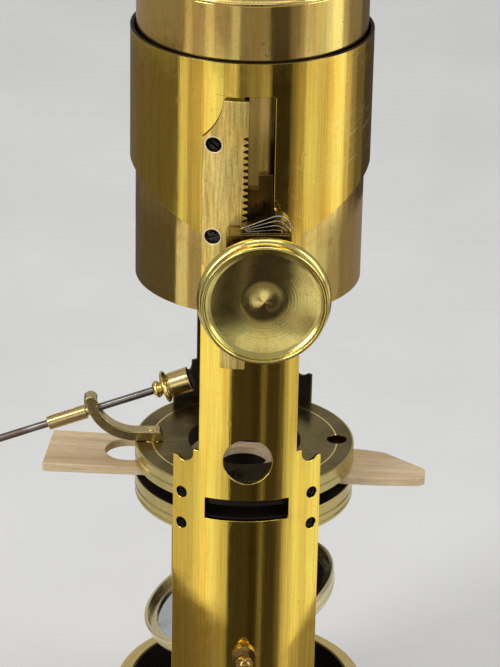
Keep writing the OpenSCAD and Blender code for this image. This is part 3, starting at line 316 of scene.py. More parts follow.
def edge_section(low, high, ease, grooves=()):
    """Section of a sheet's edge from its low face to its high one: inset and level, with normals.

    Each groove is a level, a half width and a depth, cut as a V with eased sides.
    """
    cuts = [[(0, z - half), (-deep, z), (0, z + half)] for z, half, deep in sorted(grooves)]
    line = chain((-1, low), (0, low), *cuts, (0, high), (-1, high))
    radii = np.full(len(line), ease)
    radii[2:-2] = 0.06
    points, normals = eased(line, radii, 3, closed=False)
    return points[1:-1], normals[1:-1]


def sheet(outer, holes, low, high, lay, ease=EASE, step=(1.6, 4), grooves=(), girth=None):
    """Sheet between two levels, with eased edges, laid on a flat or bent surface.

    Every outline is offset inwards by the section's inset at the section's level. Each face
    is a triangulation of its innermost outlines and of a grid of points between them. With
    a girth the sheet closes on itself after that length, and outer holds the seam's place and
    the lower and upper edge's heights.
    """
    section, plain = edge_section(low, high, ease, grooves), edge_section(low, high, ease)
    if girth:
        across = np.linspace(outer[0], outer[0] + girth, int(girth / step[0]) + 1)[:-1]
        loops = [(pairs(across, height), np.tile([0, side], (len(across), 1)), *section)
                 for height, side in ((outer[1], -1.0), (outer[2], 1.0))]
    else:
        loops = [(*finer(outer, min(step)), *section)]
    loops += [(*finer(line, min(step)), *plain) for line in holes]

    spots, ways, faces, rims, borders, edges = [], [], [], [], [], []
    base = start = 0
    for points, normals, cut, lean in loops:
        n, k = len(points), len(cut)
        place = points[:, None] + normals[:, None] * cut[None, :, :1]
        at, along, up, out = lay(place[..., 0], place[..., 1], np.broadcast_to(cut[:, 1], (n, k)))
        side = normals[:, None] * lean[None, :, :1]
        spots.append(at.reshape(-1, 3))
        ways.append((side[..., :1] * along + side[..., 1:] * up
                     + lean[None, :, 1:] * out).reshape(-1, 3))
        faces.append(grid_faces(n, k, True, False) + base)
        rims.append(base + np.arange(n)[:, None] * k + [0, k - 1])
        ring = np.arange(start, start + n)
        edge = pairs(ring, np.roll(ring, -1))
        edges.append(edge[:-1] if girth and len(borders) < 2 else edge)
        borders.append(place[:, -1])
        base, start = base + n * k, start + n
    rim, flat, outlines = np.concatenate(rims), np.concatenate(borders), borders
    if girth:
        first, count = len(borders[0]), len(flat)
        ends = [border[0] + [girth, 0] for border in borders[:2]]
        edges.append([[first - 1, count], [first + len(borders[1]) - 1, count + 1]])
        rim = np.concatenate([rim, rim[[0, first]]])
        flat = np.concatenate([flat, ends])
        outlines = [chain(borders[0], *ends, borders[1][::-1])] + borders[2:]

    lowest, highest = flat.min(0), flat.max(0)
    counts = np.maximum(np.ceil((highest - lowest) / step).astype(int), 1)
    lines = [np.linspace(*ends) for ends in zip(lowest, highest, counts + 1)]
    inner = np.stack(np.meshgrid(*lines, indexing="ij"), -1).reshape(-1, 2)
    keep = inside(inner, outlines)
    if girth:
        u, v = inner.T
        keep = np.where(np.isin(u, (lowest[0], highest[0])),
                        (v > lowest[1] + 0.5) & (v < highest[1] - 0.5), keep)
    inner = inner[keep]
    room = np.linalg.norm(inner[:, None] - flat, axis=2).min(1)
    inner = inner[room > 0.35 * min(step)]
    found = delaunay_2d_cdt([Vector(p) for p in np.concatenate([flat, inner])],
                            np.concatenate(edges).tolist(), [], 0, 1e-7)
    made = np.array([tuple(v) for v in found[0]])
    origin = np.array([source[0] if source else -1 for source in found[3]])
    corners = np.array([face for face in found[2] if len(face) == 3])
    triangles = origin[corners]
    triangles = triangles[inside(made[corners].mean(1), outlines) & (triangles.min(1) >= 0)]

    count = len(inner)
    for k, (level, side) in enumerate(((low, -1), (high, 1))):
        at, _, _, out = lay(*inner.T, np.full(count, float(level)))
        spots.append(at)
        ways.append(out * side)
        index = np.concatenate([rim[:, k], base + k * count + np.arange(count)])
        corner = index[triangles]
        faces.append(np.concatenate([corner, corner[:, 2:]], 1))
    return welded(np.concatenate(spots), np.concatenate(ways), np.concatenate(faces))


def piece(name, body, shape, finish, slot, *stands_for):
    """Mesh piece from a shape: faces follow the normals, doubled corners make triangles."""
    points, normals, faces = shape
    for k in (0, 1, 3):
        twin = faces[:, k] == faces[:, (k + 1) % 4]
        faces = np.where(twin[:, None], np.roll(faces, 2 - k, 1), faces)
    corners = points[faces]
    area = np.cross(corners[:, 2] - corners[:, 0], corners[:, 3] - corners[:, 1])
    real = np.linalg.norm(area, axis=1) > 1e-9
    faces, area = faces[real], area[real]
    away = np.sum(area * normals[faces].sum(1), 1) < 0
    faces = np.where(away[:, None], faces[:, [1, 0, 3, 2]], faces)
    keep = np.ones(faces.shape, bool)
    keep[:, 3] = faces[:, 2] != faces[:, 3]
    totals = keep.sum(1)
    mesh = bpy.data.meshes.new(name)
    mesh.vertices.add(len(points))
    mesh.vertices.foreach_set("co", (points * MM).ravel())
    mesh.loops.add(int(totals.sum()))
    mesh.loops.foreach_set("vertex_index", faces[keep])
    mesh.polygons.add(len(faces))
    mesh.polygons.foreach_set("loop_start", np.cumsum(totals) - totals)
    mesh.update(calc_edges=True)
    mesh.polygons.foreach_set("use_smooth", np.ones(len(faces), bool))
    mesh.normals_split_custom_set_from_vertices(normals)
    mesh.materials.append(finish)
    made = added(name, mesh)
    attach(made, body)
    if stands_for:
        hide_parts(*stands_for)


# Finishes

class Field:
    """An output inside a shader tree; maths on it adds nodes to that tree."""

    def __init__(self, tree, socket):
        self.tree, self.socket = tree, socket

    def node(self, kind, inputs, output=0, **settings):
        """An output of a new node with its settings, and its inputs set or linked."""
        made = self.tree.nodes.new("ShaderNode" + kind)
        for name, value in settings.items():
            setattr(made, name, value)
        plug(made, inputs)
        return Field(self.tree, made.outputs[output])

    def maths(self, way, *others):
        """Result of a math node on this value and others."""
        return self.node("Math", dict(enumerate((self, *others))), operation=way)

    def __add__(self, other):
        return self.maths("ADD", other)

    def __sub__(self, other):
        return self.maths("SUBTRACT", other)

    def __rsub__(self, other):
        return self.node("Math", {0: other, 1: self}, operation="SUBTRACT")

    def __mul__(self, other):
        return self.maths("MULTIPLY", other)

    def larger(self, other):
        """The larger of two values."""
        return self.maths("MAXIMUM", other)

    def span(self, first, last, low=0.0, high=1.0):
        """Value moved smoothly from the range first..last to the range low..high."""
        return self.node("MapRange", {0: self, 1: first, 2: last, 3: low, 4: high},
                         interpolation_type="SMOOTHSTEP")

    def times(self, ways):
        """Vector multiplied by another, part by part."""
        return self.node("VectorMath", {0: self, 1: ways}, operation="MULTIPLY")

    def noise(self, scale, detail=4.0, rough=0.6, skew=0.0):
        """Noise value at this place."""
        return self.node("TexNoise", {"Vector": self, "Scale": scale, "Detail": detail,
                                      "Roughness": rough, "Distortion": skew}, "Fac")

    def parts(self, axes):
        """Parts of this place along some of the axes."""
        return [self.node("SeparateXYZ", {0: self}, axis) for axis in axes]


def plug(made, inputs):
    """Sets or links a node's inputs; a colour's fourth number is 1."""
    for name, value in inputs.items():
        socket = made.inputs[name]
        if isinstance(value, Field):
            value.tree.links.new(value.socket, socket)
        else:
            socket.default_value = (*value, 1) if socket.type == "RGBA" else value


def mixed(share, first, second, way="MIX"):
    """Colour between two colours, or their product by a share."""
    field = next(value for value in (share, first, second) if isinstance(value, Field))
    return field.node("Mix", {0: share, 6: first, 7: second}, 2, data_type="RGBA", blend_type=way)


def radius_of(place):
    """Distance from the upright axis."""
    x, y = place.parts("XY")
    return (x * x + y * y).maths("SQRT")


def group(build, outputs, **inputs):
    """Node group of the fields that a function makes of a place and the other inputs."""
    tree = bpy.data.node_groups.new(build.__name__, "ShaderNodeTree")
    inputs = {"Place": (0.0, 0.0, 0.0), **inputs}
    for label, first in inputs.items():
        kind = "NodeSocketVector" if isinstance(first, tuple) else "NodeSocketFloat"
        socket = tree.interface.new_socket(label, in_out="INPUT", socket_type=kind)
        socket.default_value = first
    for label in outputs:
        tree.interface.new_socket(label, in_out="OUTPUT", socket_type="NodeSocketFloat")
    given, result = tree.nodes.new("NodeGroupInput").outputs, tree.nodes.new("NodeGroupOutput")
    plug(result, dict(zip(outputs, build(*(Field(tree, given[label]) for label in inputs)))))
    return tree


def use(group_tree, place, **values):
    """A group's outputs at a place, with its own values."""
    made = place.tree.nodes.new("ShaderNodeGroup")
    made.node_tree = group_tree
    plug(made, {"Place": place, **values})
    return {socket.name: Field(place.tree, socket) for socket in made.outputs}


def streaks(place, stretch, fineness):
    """Fine lines along one direction: noise on a place scaled little along the lines."""
    place = place.times(stretch)
    return place.noise(fineness, 5.0, 0.7), place.noise(fineness * 0.12, 3.0, 0.6)


def lathe_marks(place, fineness):
    """Turned lines: noise on radius and height alone, so it runs round the axis."""
    x, z = place.parts("XZ")
    place = place.node("CombineXYZ", {0: radius_of(place), 1: z, 2: x * 0.01})
    return place.noise(fineness, 6.0, 0.75), place.noise(fineness * 0.13, 3.0, 0.6)


def tarnish(place, size, cover, softness):
    """Clouds of tarnish, small dark specks where two noises are high, and a mottle."""
    edge = 1.0 - cover
    clouds = place.noise(size, 7.0, 0.62, 0.4).span(edge - softness, edge + softness)
    specks = (place.noise(size * 14.0, 2.0, 0.5).span(0.66, 0.72)
              * place.noise(size * 2.5, 2.0, 0.5).span(0.45, 0.62))
    return clouds, specks, place.noise(size * 6.0, 5.0, 0.7)


def scratches(place, turn, size, amount):
    """Sparse scratches: the thin level lines of a stretched noise, kept where a second is high."""
    turned_place = place.node("VectorRotate", {"Vector": place, "Rotation": turn},
                              rotation_type="EULER_XYZ")
    level = turned_place.times((1.0, 1.0, 0.06)).noise(size, 2.0, 0.5)
    line = (level - 0.5).maths("ABSOLUTE").span(0.0, 0.006, 1.0, 0.0)
    edge = 0.85 - amount * 0.4
    return [line * place.noise(size * 0.9, 2.0, 0.5).span(edge, edge + 0.06)]


STREAKS = group(streaks, ("Lines", "Bands"), Stretch=(1.0, 1.0, 0.02), Fineness=3000.0)
LATHE = group(lathe_marks, ("Lines", "Bands"), Fineness=4000.0)
TARNISH = group(tarnish, ("Clouds", "Specks", "Mottle"), Size=60.0, Cover=0.5, Softness=0.2)
SCRATCHES = group(scratches, ("Lines",), Turn=(0.0, 0.6, 0.0), Size=160.0, Amount=0.5)


def new_material(name):
    """Material with one Principled surface, and the place on the object."""
    made = bpy.data.materials.new(name)
    made.use_nodes = True
    tree = made.node_tree
    place = Field(tree, tree.nodes.new("ShaderNodeTexCoord").outputs["Object"])
    return made, tree.nodes["Principled BSDF"], place


def bumped(height, strength):
    """Normal for a height that is 0.2 mm high."""
    return height.node("Bump", {"Height": height, "Strength": strength, "Distance": 0.0002})


def metal(name, clean, dull, rough=(0.22, 0.42), cover=0.4, size=60.0, grain="streaks",
          stretch=(1.0, 1.0, 0.02), fineness=2600.0, relief=0.04, scratched=0.5,
          turn=(0.0, 0.5, 0.0), centre=None, specks=0.7, pits=0.2, tint=0.25, lines_show=0.12,
          warm=0.0, over=()):
    """Old metal: tarnish clouds over a clean tone, tooling lines, scratches, pits and specks.

    Each row of over is a mask, a tone and what it adds to the roughness. The mask is a
    function of the place."""
    made, surface, whole = new_material(name)
    place = whole
    if centre:
        place = whole.node("Mapping", {"Vector": whole, "Location": centre[0],
                                       "Rotation": centre[1]})
    old = use(TARNISH, place, Size=size, Cover=cover, Softness=0.14)
    if grain == "lathe":
        lines = use(LATHE, place, Fineness=fineness)
    else:
        lines = use(STREAKS, place, Stretch=stretch, Fineness=fineness)
    marks = use(SCRATCHES, place, Turn=turn, Size=170.0, Amount=scratched)["Lines"]
    tone = mixed(old["Clouds"] * lines["Bands"].span(0.2, 0.7, 0.7, 1.0), clean, dull)
    hue = mixed(place.noise(size * 1.7, 3.0, 0.55).span(0.35, 0.65), (1.0, 0.86, 0.8),
                (0.86, 1.0, 0.95))
    tone = mixed(tint, tone, mixed(1.0, tone, hue, "MULTIPLY"))
    if warm:
        tone = mixed(lines["Bands"].span(0.46, 0.62, 0.0, warm), tone,
                     mixed(1.0, tone, (1.0, 0.74, 0.45), "MULTIPLY"))
    shade = (place.noise(1700.0, 2.0, 0.5).span(0.56, 0.7, 1.0, 1.0 - pits)
             * lines["Lines"].span(0.25, 0.75, 1.0 - lines_show, 1.0 + lines_show / 2))
    grey = shade.node("CombineColor", {0: shade, 1: shade, 2: shade})
    spot = old["Specks"] * specks
    tone = mixed(spot, mixed(1.0, tone, grey, "MULTIPLY"),
                 (dull[0] * 0.3, dull[1] * 0.26, dull[2] * 0.3))
    tone = mixed(marks * 0.35, tone, [min(1.0, part * 1.25) for part in clean])
    gloss = (old["Clouds"].span(0.0, 1.0, *rough) + old["Mottle"].span(0.3, 0.7, -0.03, 0.04)
             + spot * 0.2)
    for mask, other, rougher in over:
        share = mask(whole)
        tone, gloss = mixed(share, tone, other), gloss + share * rougher
    height = lines["Lines"] + marks * -0.8 + spot * -0.5
    plug(surface, {"Base Color": tone, "Roughness": gloss, "Normal": bumped(height, relief),
                   "Metallic": 1.0})
    return made


def rises(value, first, last):
    """Mask that grows from 0 to 1 while a value in metres goes from one size in mm to another."""
    return value.span(first * MM, last * MM)


def falls(value, first, last):
    """Mask that drops from 1 to 0 while a value in metres goes from one size in mm to another."""
    return value.span(first * MM, last * MM, 1.0, 0.0)


def between(value, low, high, soft=0.05):
    """Mask that is 1 while a value in metres lies between two sizes in mm."""
    return rises(value, low - soft, low + soft) * falls(value, high - soft, high + soft)


def shade_in_tube(place):
    """Mask for the tube's bore and the top of its rim, both painted near black as shade."""
    top = rises(*place.parts("Z"), RIM_Z - 0.1, RIM_Z - 0.03)
    return falls(radius_of(place), BORE_R + 0.04, BORE_R + 0.14).larger(top)


def rubbed(place):
    """Mask for fine scratches on the right of the sleeve, straight ones that rise to the right."""
    along, across = (place.node("VectorMath", {0: place, 1: way}, "Value", operation="DOT_PRODUCT")
                     for way in ((0.69, 0.69, 0.22), (0.16, 0.16, -0.97)))
    spot = place.node("CombineXYZ", {0: along, 1: across})
    lines = use(STREAKS, spot, Stretch=(0.05, 1.0, 1.0), Fineness=2300.0)["Lines"]
    x, z = place.parts("XZ")
    patches = place.noise(110.0, 3.0, 0.6).span(0.38, 0.6, 0.3, 1.0)
    return rises(x, 11, 18) * rises(z, RIM_Z - 36, RIM_Z - 28) * patches * lines.span(0.47, 0.66)


def shaded_cut_edges(place):
    """Mask for the cut edges of the tube's wall, painted dark as shade."""
    return falls(radius_of(place), TUBE_R - 0.22, TUBE_R - 0.1)


def shaded_rack_sides(place):
    """Mask for the rack's sides and the gaps of its teeth, painted dark as shade."""
    return falls(radius_of(place), RACK_R - 0.14, RACK_R - 0.04)


def screw_ring_highlights(place):
    """Mask for a thin ring round each of the rack's screws, painted bright as a highlight."""
    x, z = place.parts("XZ")
    across, found = x - RACK_SCREW_X * MM, 0.0
    for height in RACK_SCREW_HEIGHTS:
        along = z - height * MM
        found = between((across * across + along * along).maths("SQRT"), 1.6, 1.9).larger(found)
    return found


def behind_slot(place):
    """Mask for the part of the drum's front that shows in the slot."""
    y, z = place.parts("YZ")
    return falls(y, -20, -18) * between(z, PINION_SLOT[0], PINION_SLOT[1] - 8, 4)


def shade_beside_slot_sides(place):
    """Mask for two near black lines of painted shade on the drum's front, behind the slot's sides.
    """
    x, = place.parts("X")
    lines = between(x, SLOT_X[0] - 0.1, RACK_TIP_X + 0.05, 0.08).larger(
        between(x, SLOT_X[1] - 1.2, SLOT_X[1] + 0.2, 0.4))
    return lines * behind_slot(place)


def darker_slot_streaks(place):
    """Mask for a darker olive tone between those lines, in streaks along the drum."""
    lines = use(STREAKS, place, Stretch=(1.0, 1.0, 0.03), Fineness=1300.0)["Lines"]
    return (lines.span(0.3, 0.7, 0.45, 0.95) * behind_slot(place)
            * between(*place.parts("X"), SLOT_X[0] - 0.2, SLOT_X[1] + 0.2, 0.3))


def scribed_circle_highlight(place):
    """Mask for the circle scribed in the stage's top through the accessory holes; the line is real,
    its bright tone a painted highlight.
    """
    return (between(radius_of(place), ACCESSORY_R - 0.17, ACCESSORY_R + 0.17)
            * between(*place.parts("Z"), STAGE_Z - 0.2, STAGE_Z + 0.2))


def spring_shade_behind_front(place):
    """Mask for all of the pinion spring but its front edges, painted near black as shade between
    the leaves.
    """
    return rises(*place.parts("Y"), SPRING_FRONT + 0.08, SPRING_FRONT + 0.2)


def stage_rim_highlights(place):
    """Mask for the turned outer edges of the two discs, painted brighter as a highlight."""
    return rises(radius_of(place), DISC_R - 0.5, DISC_R - 0.3)


def shade_inside_stage(place):
    """Mask for the aperture, the faces between the discs, and their edge behind the slots, painted
    near black as shade.
    """
    radius, (x, z) = radius_of(place), place.parts("XZ")
    gap = between(z, STAGE_Z - 7.15, STAGE_Z - 4.25, 0.02)
    behind = between(x, -9.6, 9.6) * rises(radius, 24.3, 24.4)
    return falls(radius, APERTURE_R + 0.02, APERTURE_R + 0.1).larger(gap.larger(behind))


def clear_glass(name, tint):
    """Lens glass with a faint smear."""
    made, surface, place = new_material(name)
    smear = place.noise(260.0, 5.0, 0.6, 0.6).span(0.3, 0.8, 0.02, 0.09)
    plug(surface, {"Roughness": smear, "Base Color": tint, "Transmission Weight": 1.0,
                   "IOR": 1.52})
    return made


def silvered_glass(name):
    """Mirror: bright, with clouds and spots of brown foxing where the silver has gone."""
    made, surface, place = new_material(name)
    old = use(TARNISH, place, Size=120.0, Cover=0.32, Softness=0.12)
    tone = mixed(old["Clouds"], (0.66, 0.69, 0.71), (0.30, 0.27, 0.22))
    plug(surface, {"Base Color": mixed(old["Specks"], tone, (0.05, 0.045, 0.04)),
                   "Roughness": old["Mottle"].span(0.3, 0.7, 0.03, 0.12), "Metallic": 1.0})
    return made


def bare_wood(name):
    """Pale close-grained wood: year rings and long fibres along the slider, short dark pores."""
    made, surface, place = new_material(name)
    place = place.node("Mapping", {"Vector": place, "Rotation": (0, 0, math.radians(SLIDER_TURN))})
    fibres = use(STREAKS, place, Stretch=(0.05, 1.0, 1.0), Fineness=1900.0)
    rings = place.times((0.09, 1.0, 1.0)).noise(330.0, 3.0, 0.5, 0.6).span(0.3, 0.7)
    pores = place.times((0.12, 1.0, 1.0)).noise(5200.0, 2.0, 0.5)
    tone = mixed(rings, (0.68, 0.535, 0.33), (0.54, 0.39, 0.21))
    tone = mixed(fibres["Lines"].span(0.35, 0.75, 0.0, 0.6), tone, (0.42, 0.29, 0.15))
    tone = mixed(pores.span(0.62, 0.7, 0.0, 0.5), tone, (0.27, 0.17, 0.09))
    plug(surface, {"Base Color": tone, "Roughness": fibres["Bands"].span(0.3, 0.7, 0.5, 0.68),
                   "Normal": bumped(fibres["Lines"] - pores.span(0.62, 0.7), 0.25)})
    return made


SLIDER_TURN = 7.2
KNOB_CENTRE = ((-PINION_X * MM, PINION_Z * MM, 0.0), (math.pi / 2, 0.0, 0.0))
# Near black, painted as shade in the tube's bore, on its rim's top and in the stage's hollows
SHADE_BLACK = (0.030, 0.024, 0.020)

# Sleeve: its over rows add rubbed scratches, and paint shade dark on the cut edges and near black
# in the bore and on the rim's top
tube_brass = metal("tube_brass", (0.95, 0.70, 0.12), (0.76, 0.56, 0.10), (0.08, 0.16), 0.3, 42.0,
                   relief=0.03, specks=0.15, scratched=0.9, turn=(0.0, 1.15, 0.3),
                   lines_show=0.2, warm=0.45, pits=0.06,
                   over=((rubbed, (0.96, 0.76, 0.26), 0.22), (shaded_cut_edges, (0.09, 0.06, 0.02), 0.2),
                         (shade_in_tube, SHADE_BLACK, 0.35)))
# Drum: a darker streaked tone where it shows in the slot, and painted shade in near black lines
# beside the slot's sides
drum_brass = metal("drum_brass", (0.88, 0.67, 0.20), (0.50, 0.32, 0.08), (0.09, 0.2), 0.36, 50.0,
                   stretch=(1.0, 1.0, 0.05), relief=0.03, tint=0.35, warm=0.3, specks=0.4,
                   pits=0.1, over=((darker_slot_streaks, (0.50, 0.36, 0.075), 0.1),
                                   (shade_beside_slot_sides, (0.035, 0.024, 0.009), 0.15)))
# Rack: a painted highlight ring round each screw, and painted shade on its sides and in the gaps of
# its teeth
rack_brass = metal("rack_brass", (1.0, 0.76, 0.24), (0.80, 0.55, 0.13), (0.34, 0.5), 0.4, 90.0,
                   stretch=(1.0, 1.0, 0.05), fineness=2300.0, relief=0.35, lines_show=0.5,
                   tint=0.1, warm=0.3, over=((screw_ring_highlights, (1.0, 0.86, 0.5), -0.1),
                                             (shaded_rack_sides, (0.07, 0.05, 0.02), 0.1)))
knob_brass = metal("knob_brass", (0.68, 0.56, 0.18), (0.48, 0.40, 0.12), (0.16, 0.26),
                   grain="lathe", fineness=2200.0, relief=0.05, centre=KNOB_CENTRE, tint=0.4,
                   specks=0.3, scratched=0.3)
# Stage discs: painted highlights on the scribed circle and the rims, painted shade in near black
# inside the aperture, between the discs and behind the slots
disc_brass = metal("disc_brass", (0.23, 0.175, 0.05), (0.14, 0.10, 0.027), (0.2, 0.34), 0.5, 52.0,
                   grain="lathe", fineness=2300.0,
                   over=((scribed_circle_highlight, (0.9, 0.68, 0.25), -0.05),
                         (stage_rim_highlights, (0.56, 0.45, 0.17), -0.05), (shade_inside_stage, SHADE_BLACK, 0.35)))
turned_brass = metal("turned_brass", (0.82, 0.62, 0.24), (0.50, 0.37, 0.14), (0.14, 0.28), 0.36,
                     70.0, grain="lathe", relief=0.05)
# Darker brass of the pivot screws: partly their own tone, partly painted shade
shaded_pivot_brass = metal("shaded_pivot_brass", (0.36, 0.24, 0.075), (0.16, 0.10, 0.03), (0.16, 0.3), size=90.0,
                   grain="lathe", relief=0.05)
cast_brass = metal("cast_brass", (0.62, 0.48, 0.20), (0.34, 0.25, 0.10), (0.2, 0.36),
                   stretch=(1.0, 0.15, 1.0), fineness=2200.0, relief=0.05, specks=0.4)
box_brass = metal("box_brass", (0.24, 0.18, 0.055), (0.10, 0.07, 0.02), (0.22, 0.36), 0.5, 160.0,
                  fineness=2200.0, relief=0.08, tint=0.3)
# Very dark brown of the carriage in the slot: partly its oxidised tone, partly painted shade
shaded_carriage_brass = metal("shaded_carriage_brass", (0.17, 0.095, 0.02), (0.06, 0.033, 0.01), (0.22, 0.36), 0.5,
                    160.0, fineness=2200.0, relief=0.08, tint=0.3)
pale_brass = metal("pale_brass", (0.86, 0.76, 0.46), (0.55, 0.44, 0.22), (0.22, 0.34), 0.3,
                   grain="lathe", relief=0.05)
black_brass = metal("black_brass", (0.035, 0.032, 0.03), (0.012, 0.011, 0.011), (0.5, 0.62), 0.5,
                    80.0, grain="lathe", relief=0.08)
blued_steel = metal("blued_steel", (0.05, 0.042, 0.035), (0.018, 0.014, 0.012), (0.24, 0.36), 0.5,
                    500.0, relief=0.08, fineness=6000.0)
rod_steel = metal("rod_steel", (0.26, 0.24, 0.22), (0.15, 0.10, 0.08), (0.22, 0.36), 0.45, 160.0,
                  stretch=(0.03, 1.0, 1.0), fineness=5000.0, relief=0.05)
# Spring: all but the leaves' front edges painted near black as shade between the leaves
spring_steel = metal("spring_steel", (0.74, 0.72, 0.70), (0.36, 0.33, 0.30), (0.18, 0.3),
                     size=300.0, stretch=(0.05, 1.0, 1.0), fineness=5000.0, relief=0.08,
                     over=((spring_shade_behind_front, (0.04, 0.035, 0.03), 0.1),))
lead = metal("lead", (0.12, 0.135, 0.17), (0.05, 0.055, 0.07), (0.5, 0.62), 0.5, 120.0, relief=0.2,
             stretch=(1.0, 1.0, 1.0), fineness=900.0)
lens_glass = clear_glass("lens_glass", (0.93, 0.98, 0.97))
mirror_glass = silvered_glass("mirror_glass")
slider_wood = bare_wood("slider_wood")


# Tube, rack and screws

SLOT_SHARE = 0.28
WINDOW_ARCH_R = 36
ARCH_Z = STAGE_Z + 69.2 - WINDOW_ARCH_R
LIMB_ANGLE, LIMB_FOOT_ANGLE = (math.asin(half / TUBE_R) for half in (10.7, 16.2))
SEAM_ANGLE = -202.4
STAGE_SCREW_ANGLE = 33.4
STAGE_SCREW_HEIGHTS = (STAGE_Z - 2.15, STAGE_Z - 9.8)
# half width, lower and upper level
SLIDER_SLOT = (9.2, STAGE_Z - 7.3, STAGE_Z - 2.2)


def arc_length(angle):
    """Length on the tube's outside for an angle in degrees."""
    return math.radians(angle) * TUBE_R


def on_wall(x):
    """Length on the tube's outside from the front to the place that is seen at X."""
    return TUBE_R * np.arcsin(np.divide(x, TUBE_R))


def slotted_head(radius, top, thick, slot_turn, at):
    """Screw head: a disc below, and on it two halves with the driver's slot between them."""
    a = math.degrees(math.asin(SLOT_SHARE / 2))
    floor = top - min(0.6, thick * 0.7)
    base = solid([(0, top - thick), (radius, top - thick), (radius, floor), (0, floor)], 0.02,
                 arcs=1, count=40)
    half = sheet(eased(arc(0, 0, radius, a, 180 - a, 20), 0.08, 2), (), floor, top, flat_lay,
                 0.13, (0.8, 0.8))
    halves = [placed(half, spun(slot_turn + side)) for side in (0, 180)]
    return placed(joined(base, *halves), at)


def side_window():
    """Outline of the right window in arc length and height: foot, notch, shoulder and arch."""
    foot, limb = LIMB_FOOT_ANGLE * TUBE_R, LIMB_ANGLE * TUBE_R
    step = limb + arc_length(2.9)
    notch_u, notch_z, notch_r = (step + foot) / 2 - arc_length(0.7), STAGE_Z + 8, 2.25
    lower = chain((foot, FOOT_H + 0.4), (foot, notch_z - notch_r * 0.62),
                  arc(notch_u, notch_z, notch_r, -38.5, -180, 14), (step, notch_z + 0.9),
                  (limb, notch_z + 0.9))
    angle = np.linspace(LIMB_ANGLE, math.pi - LIMB_ANGLE, 60)
    rise = np.sqrt(WINDOW_ARCH_R ** 2 - (TUBE_R * np.cos(angle)) ** 2)
    return chain(lower, pairs(angle * TUBE_R, ARCH_Z + rise),
                 (lower * [-1, 1] + [math.pi * TUBE_R, 0])[::-1])


def upright_tube():
    """Sleeve and two limbs: one sheet bent round the axis, with windows, slots and holes."""
    window, girth, seam = side_window(), 2 * math.pi * TUBE_R, arc_length(SEAM_ANGLE)
    x, z = arc(0, STAGE_Z + 7.3, 5.4, 0, 360, 48)[:-1].T
    half, low, high = on_wall(SLIDER_SLOT[0]), *SLIDER_SLOT[1:]
    holes = [hole(window, 0.2), hole(window * [-1, 1], 0.2)]
    for middle in (0.0, -girth / 2):
        holes += [hole(pairs(on_wall(x) + middle, z), 0.3, 1),
                  hole(box_outline(middle - half, middle + half, low, high), 0.25)]
        for side in (-1, 1):
            u = middle + side * arc_length(STAGE_SCREW_ANGLE)
            u += girth * (u < seam)
            holes += [round_hole(u, height, 1.35) for height in STAGE_SCREW_HEIGHTS]
    holes.append(hole(box_outline(*on_wall(SLOT_X), *PINION_SLOT), 0.4))
    return sheet((seam, box_mm("limb_tube")[0][2], RIM_Z), holes, BORE_R, TUBE_R,
                 round_lay(TUBE_R), 0.1, girth=girth)


def rack_outline():
    """Rack from the front: teeth down the right side, a step and a scallop on the left."""
    pitch = math.pi * GEAR_MODULE
    half, lean = pitch / 4 + 0.02, GEAR_MODULE * math.tan(PRESSURE_ANGLE)
    left, narrow = RACK_TIP_X - RACK_W, RACK_TIP_X - RACK_NARROW_W
    gap = np.array([-half - lean, -half + 1.25 * lean, half - 1.25 * lean, half + lean])
    teeth = pairs((RACK_TIP_X, SLOT_X[0], SLOT_X[0], RACK_TIP_X),
                  PINION_Z + np.arange(-11, 24)[:, None] * pitch + gap)
    middle, rise = narrow - SCALLOP_R + 0.06, 1.2
    first = math.degrees(math.asin(-rise / SCALLOP_R))
    last = -math.degrees(math.acos((left - middle) / SCALLOP_R))
    return chain((narrow, RACK_Z0), (RACK_TIP_X, RACK_Z0), teeth.reshape(-1, 2),
                 (RACK_TIP_X, RACK_Z1),
                 arc(middle, RACK_Z1 + rise, SCALLOP_R, first, last, SCALLOP_STEPS),
                 (left, PINION_Z + 4), (narrow, PINION_Z - 3))


def rack():
    """Rack: the outline laid on the sleeve, with its two countersinks."""
    line = rack_outline()
    radii = np.full(len(line), 0.08)
    radii[[0, 1, -2]] = 0.3
    radii[-SCALLOP_STEPS - 4:-3] = 0.3
    sinks = [round_hole(RACK_SCREW_X, z, 1.65) for z in RACK_SCREW_HEIGHTS]
    return sheet(eased(line, radii), sinks, TUBE_R, RACK_R, front_lay, 0.06, (1.2, 4))


def rack_screws():
    """Two blued screws sunk in the rack, their slots at different turns."""
    angle = math.degrees(math.asin(RACK_SCREW_X / RACK_R))
    return joined(*(slotted_head(1.6, RACK_R - 0.1, 1.0, turn, outwards(angle, z))
                    for z, turn in zip(RACK_SCREW_HEIGHTS, (-35, 20))))


def stage_screws():
    """Eight small screws through the limbs into the discs."""
    turns = iter((15, -50, 70, -20, 40, 85, -65, 5))
    return joined(*(slotted_head(1.3, TUBE_R - 0.12, 0.7, next(turns), outwards(middle + side, z))
                    for middle in (0, 180) for side in (-STAGE_SCREW_ANGLE, STAGE_SCREW_ANGLE)
                    for z in STAGE_SCREW_HEIGHTS))


# Foot, stage and pivots

MIRROR_R, MIRROR_H = 22.9, 46.8
UPPER_DISC_T, LOWER_DISC_T = 4.3, 5.4


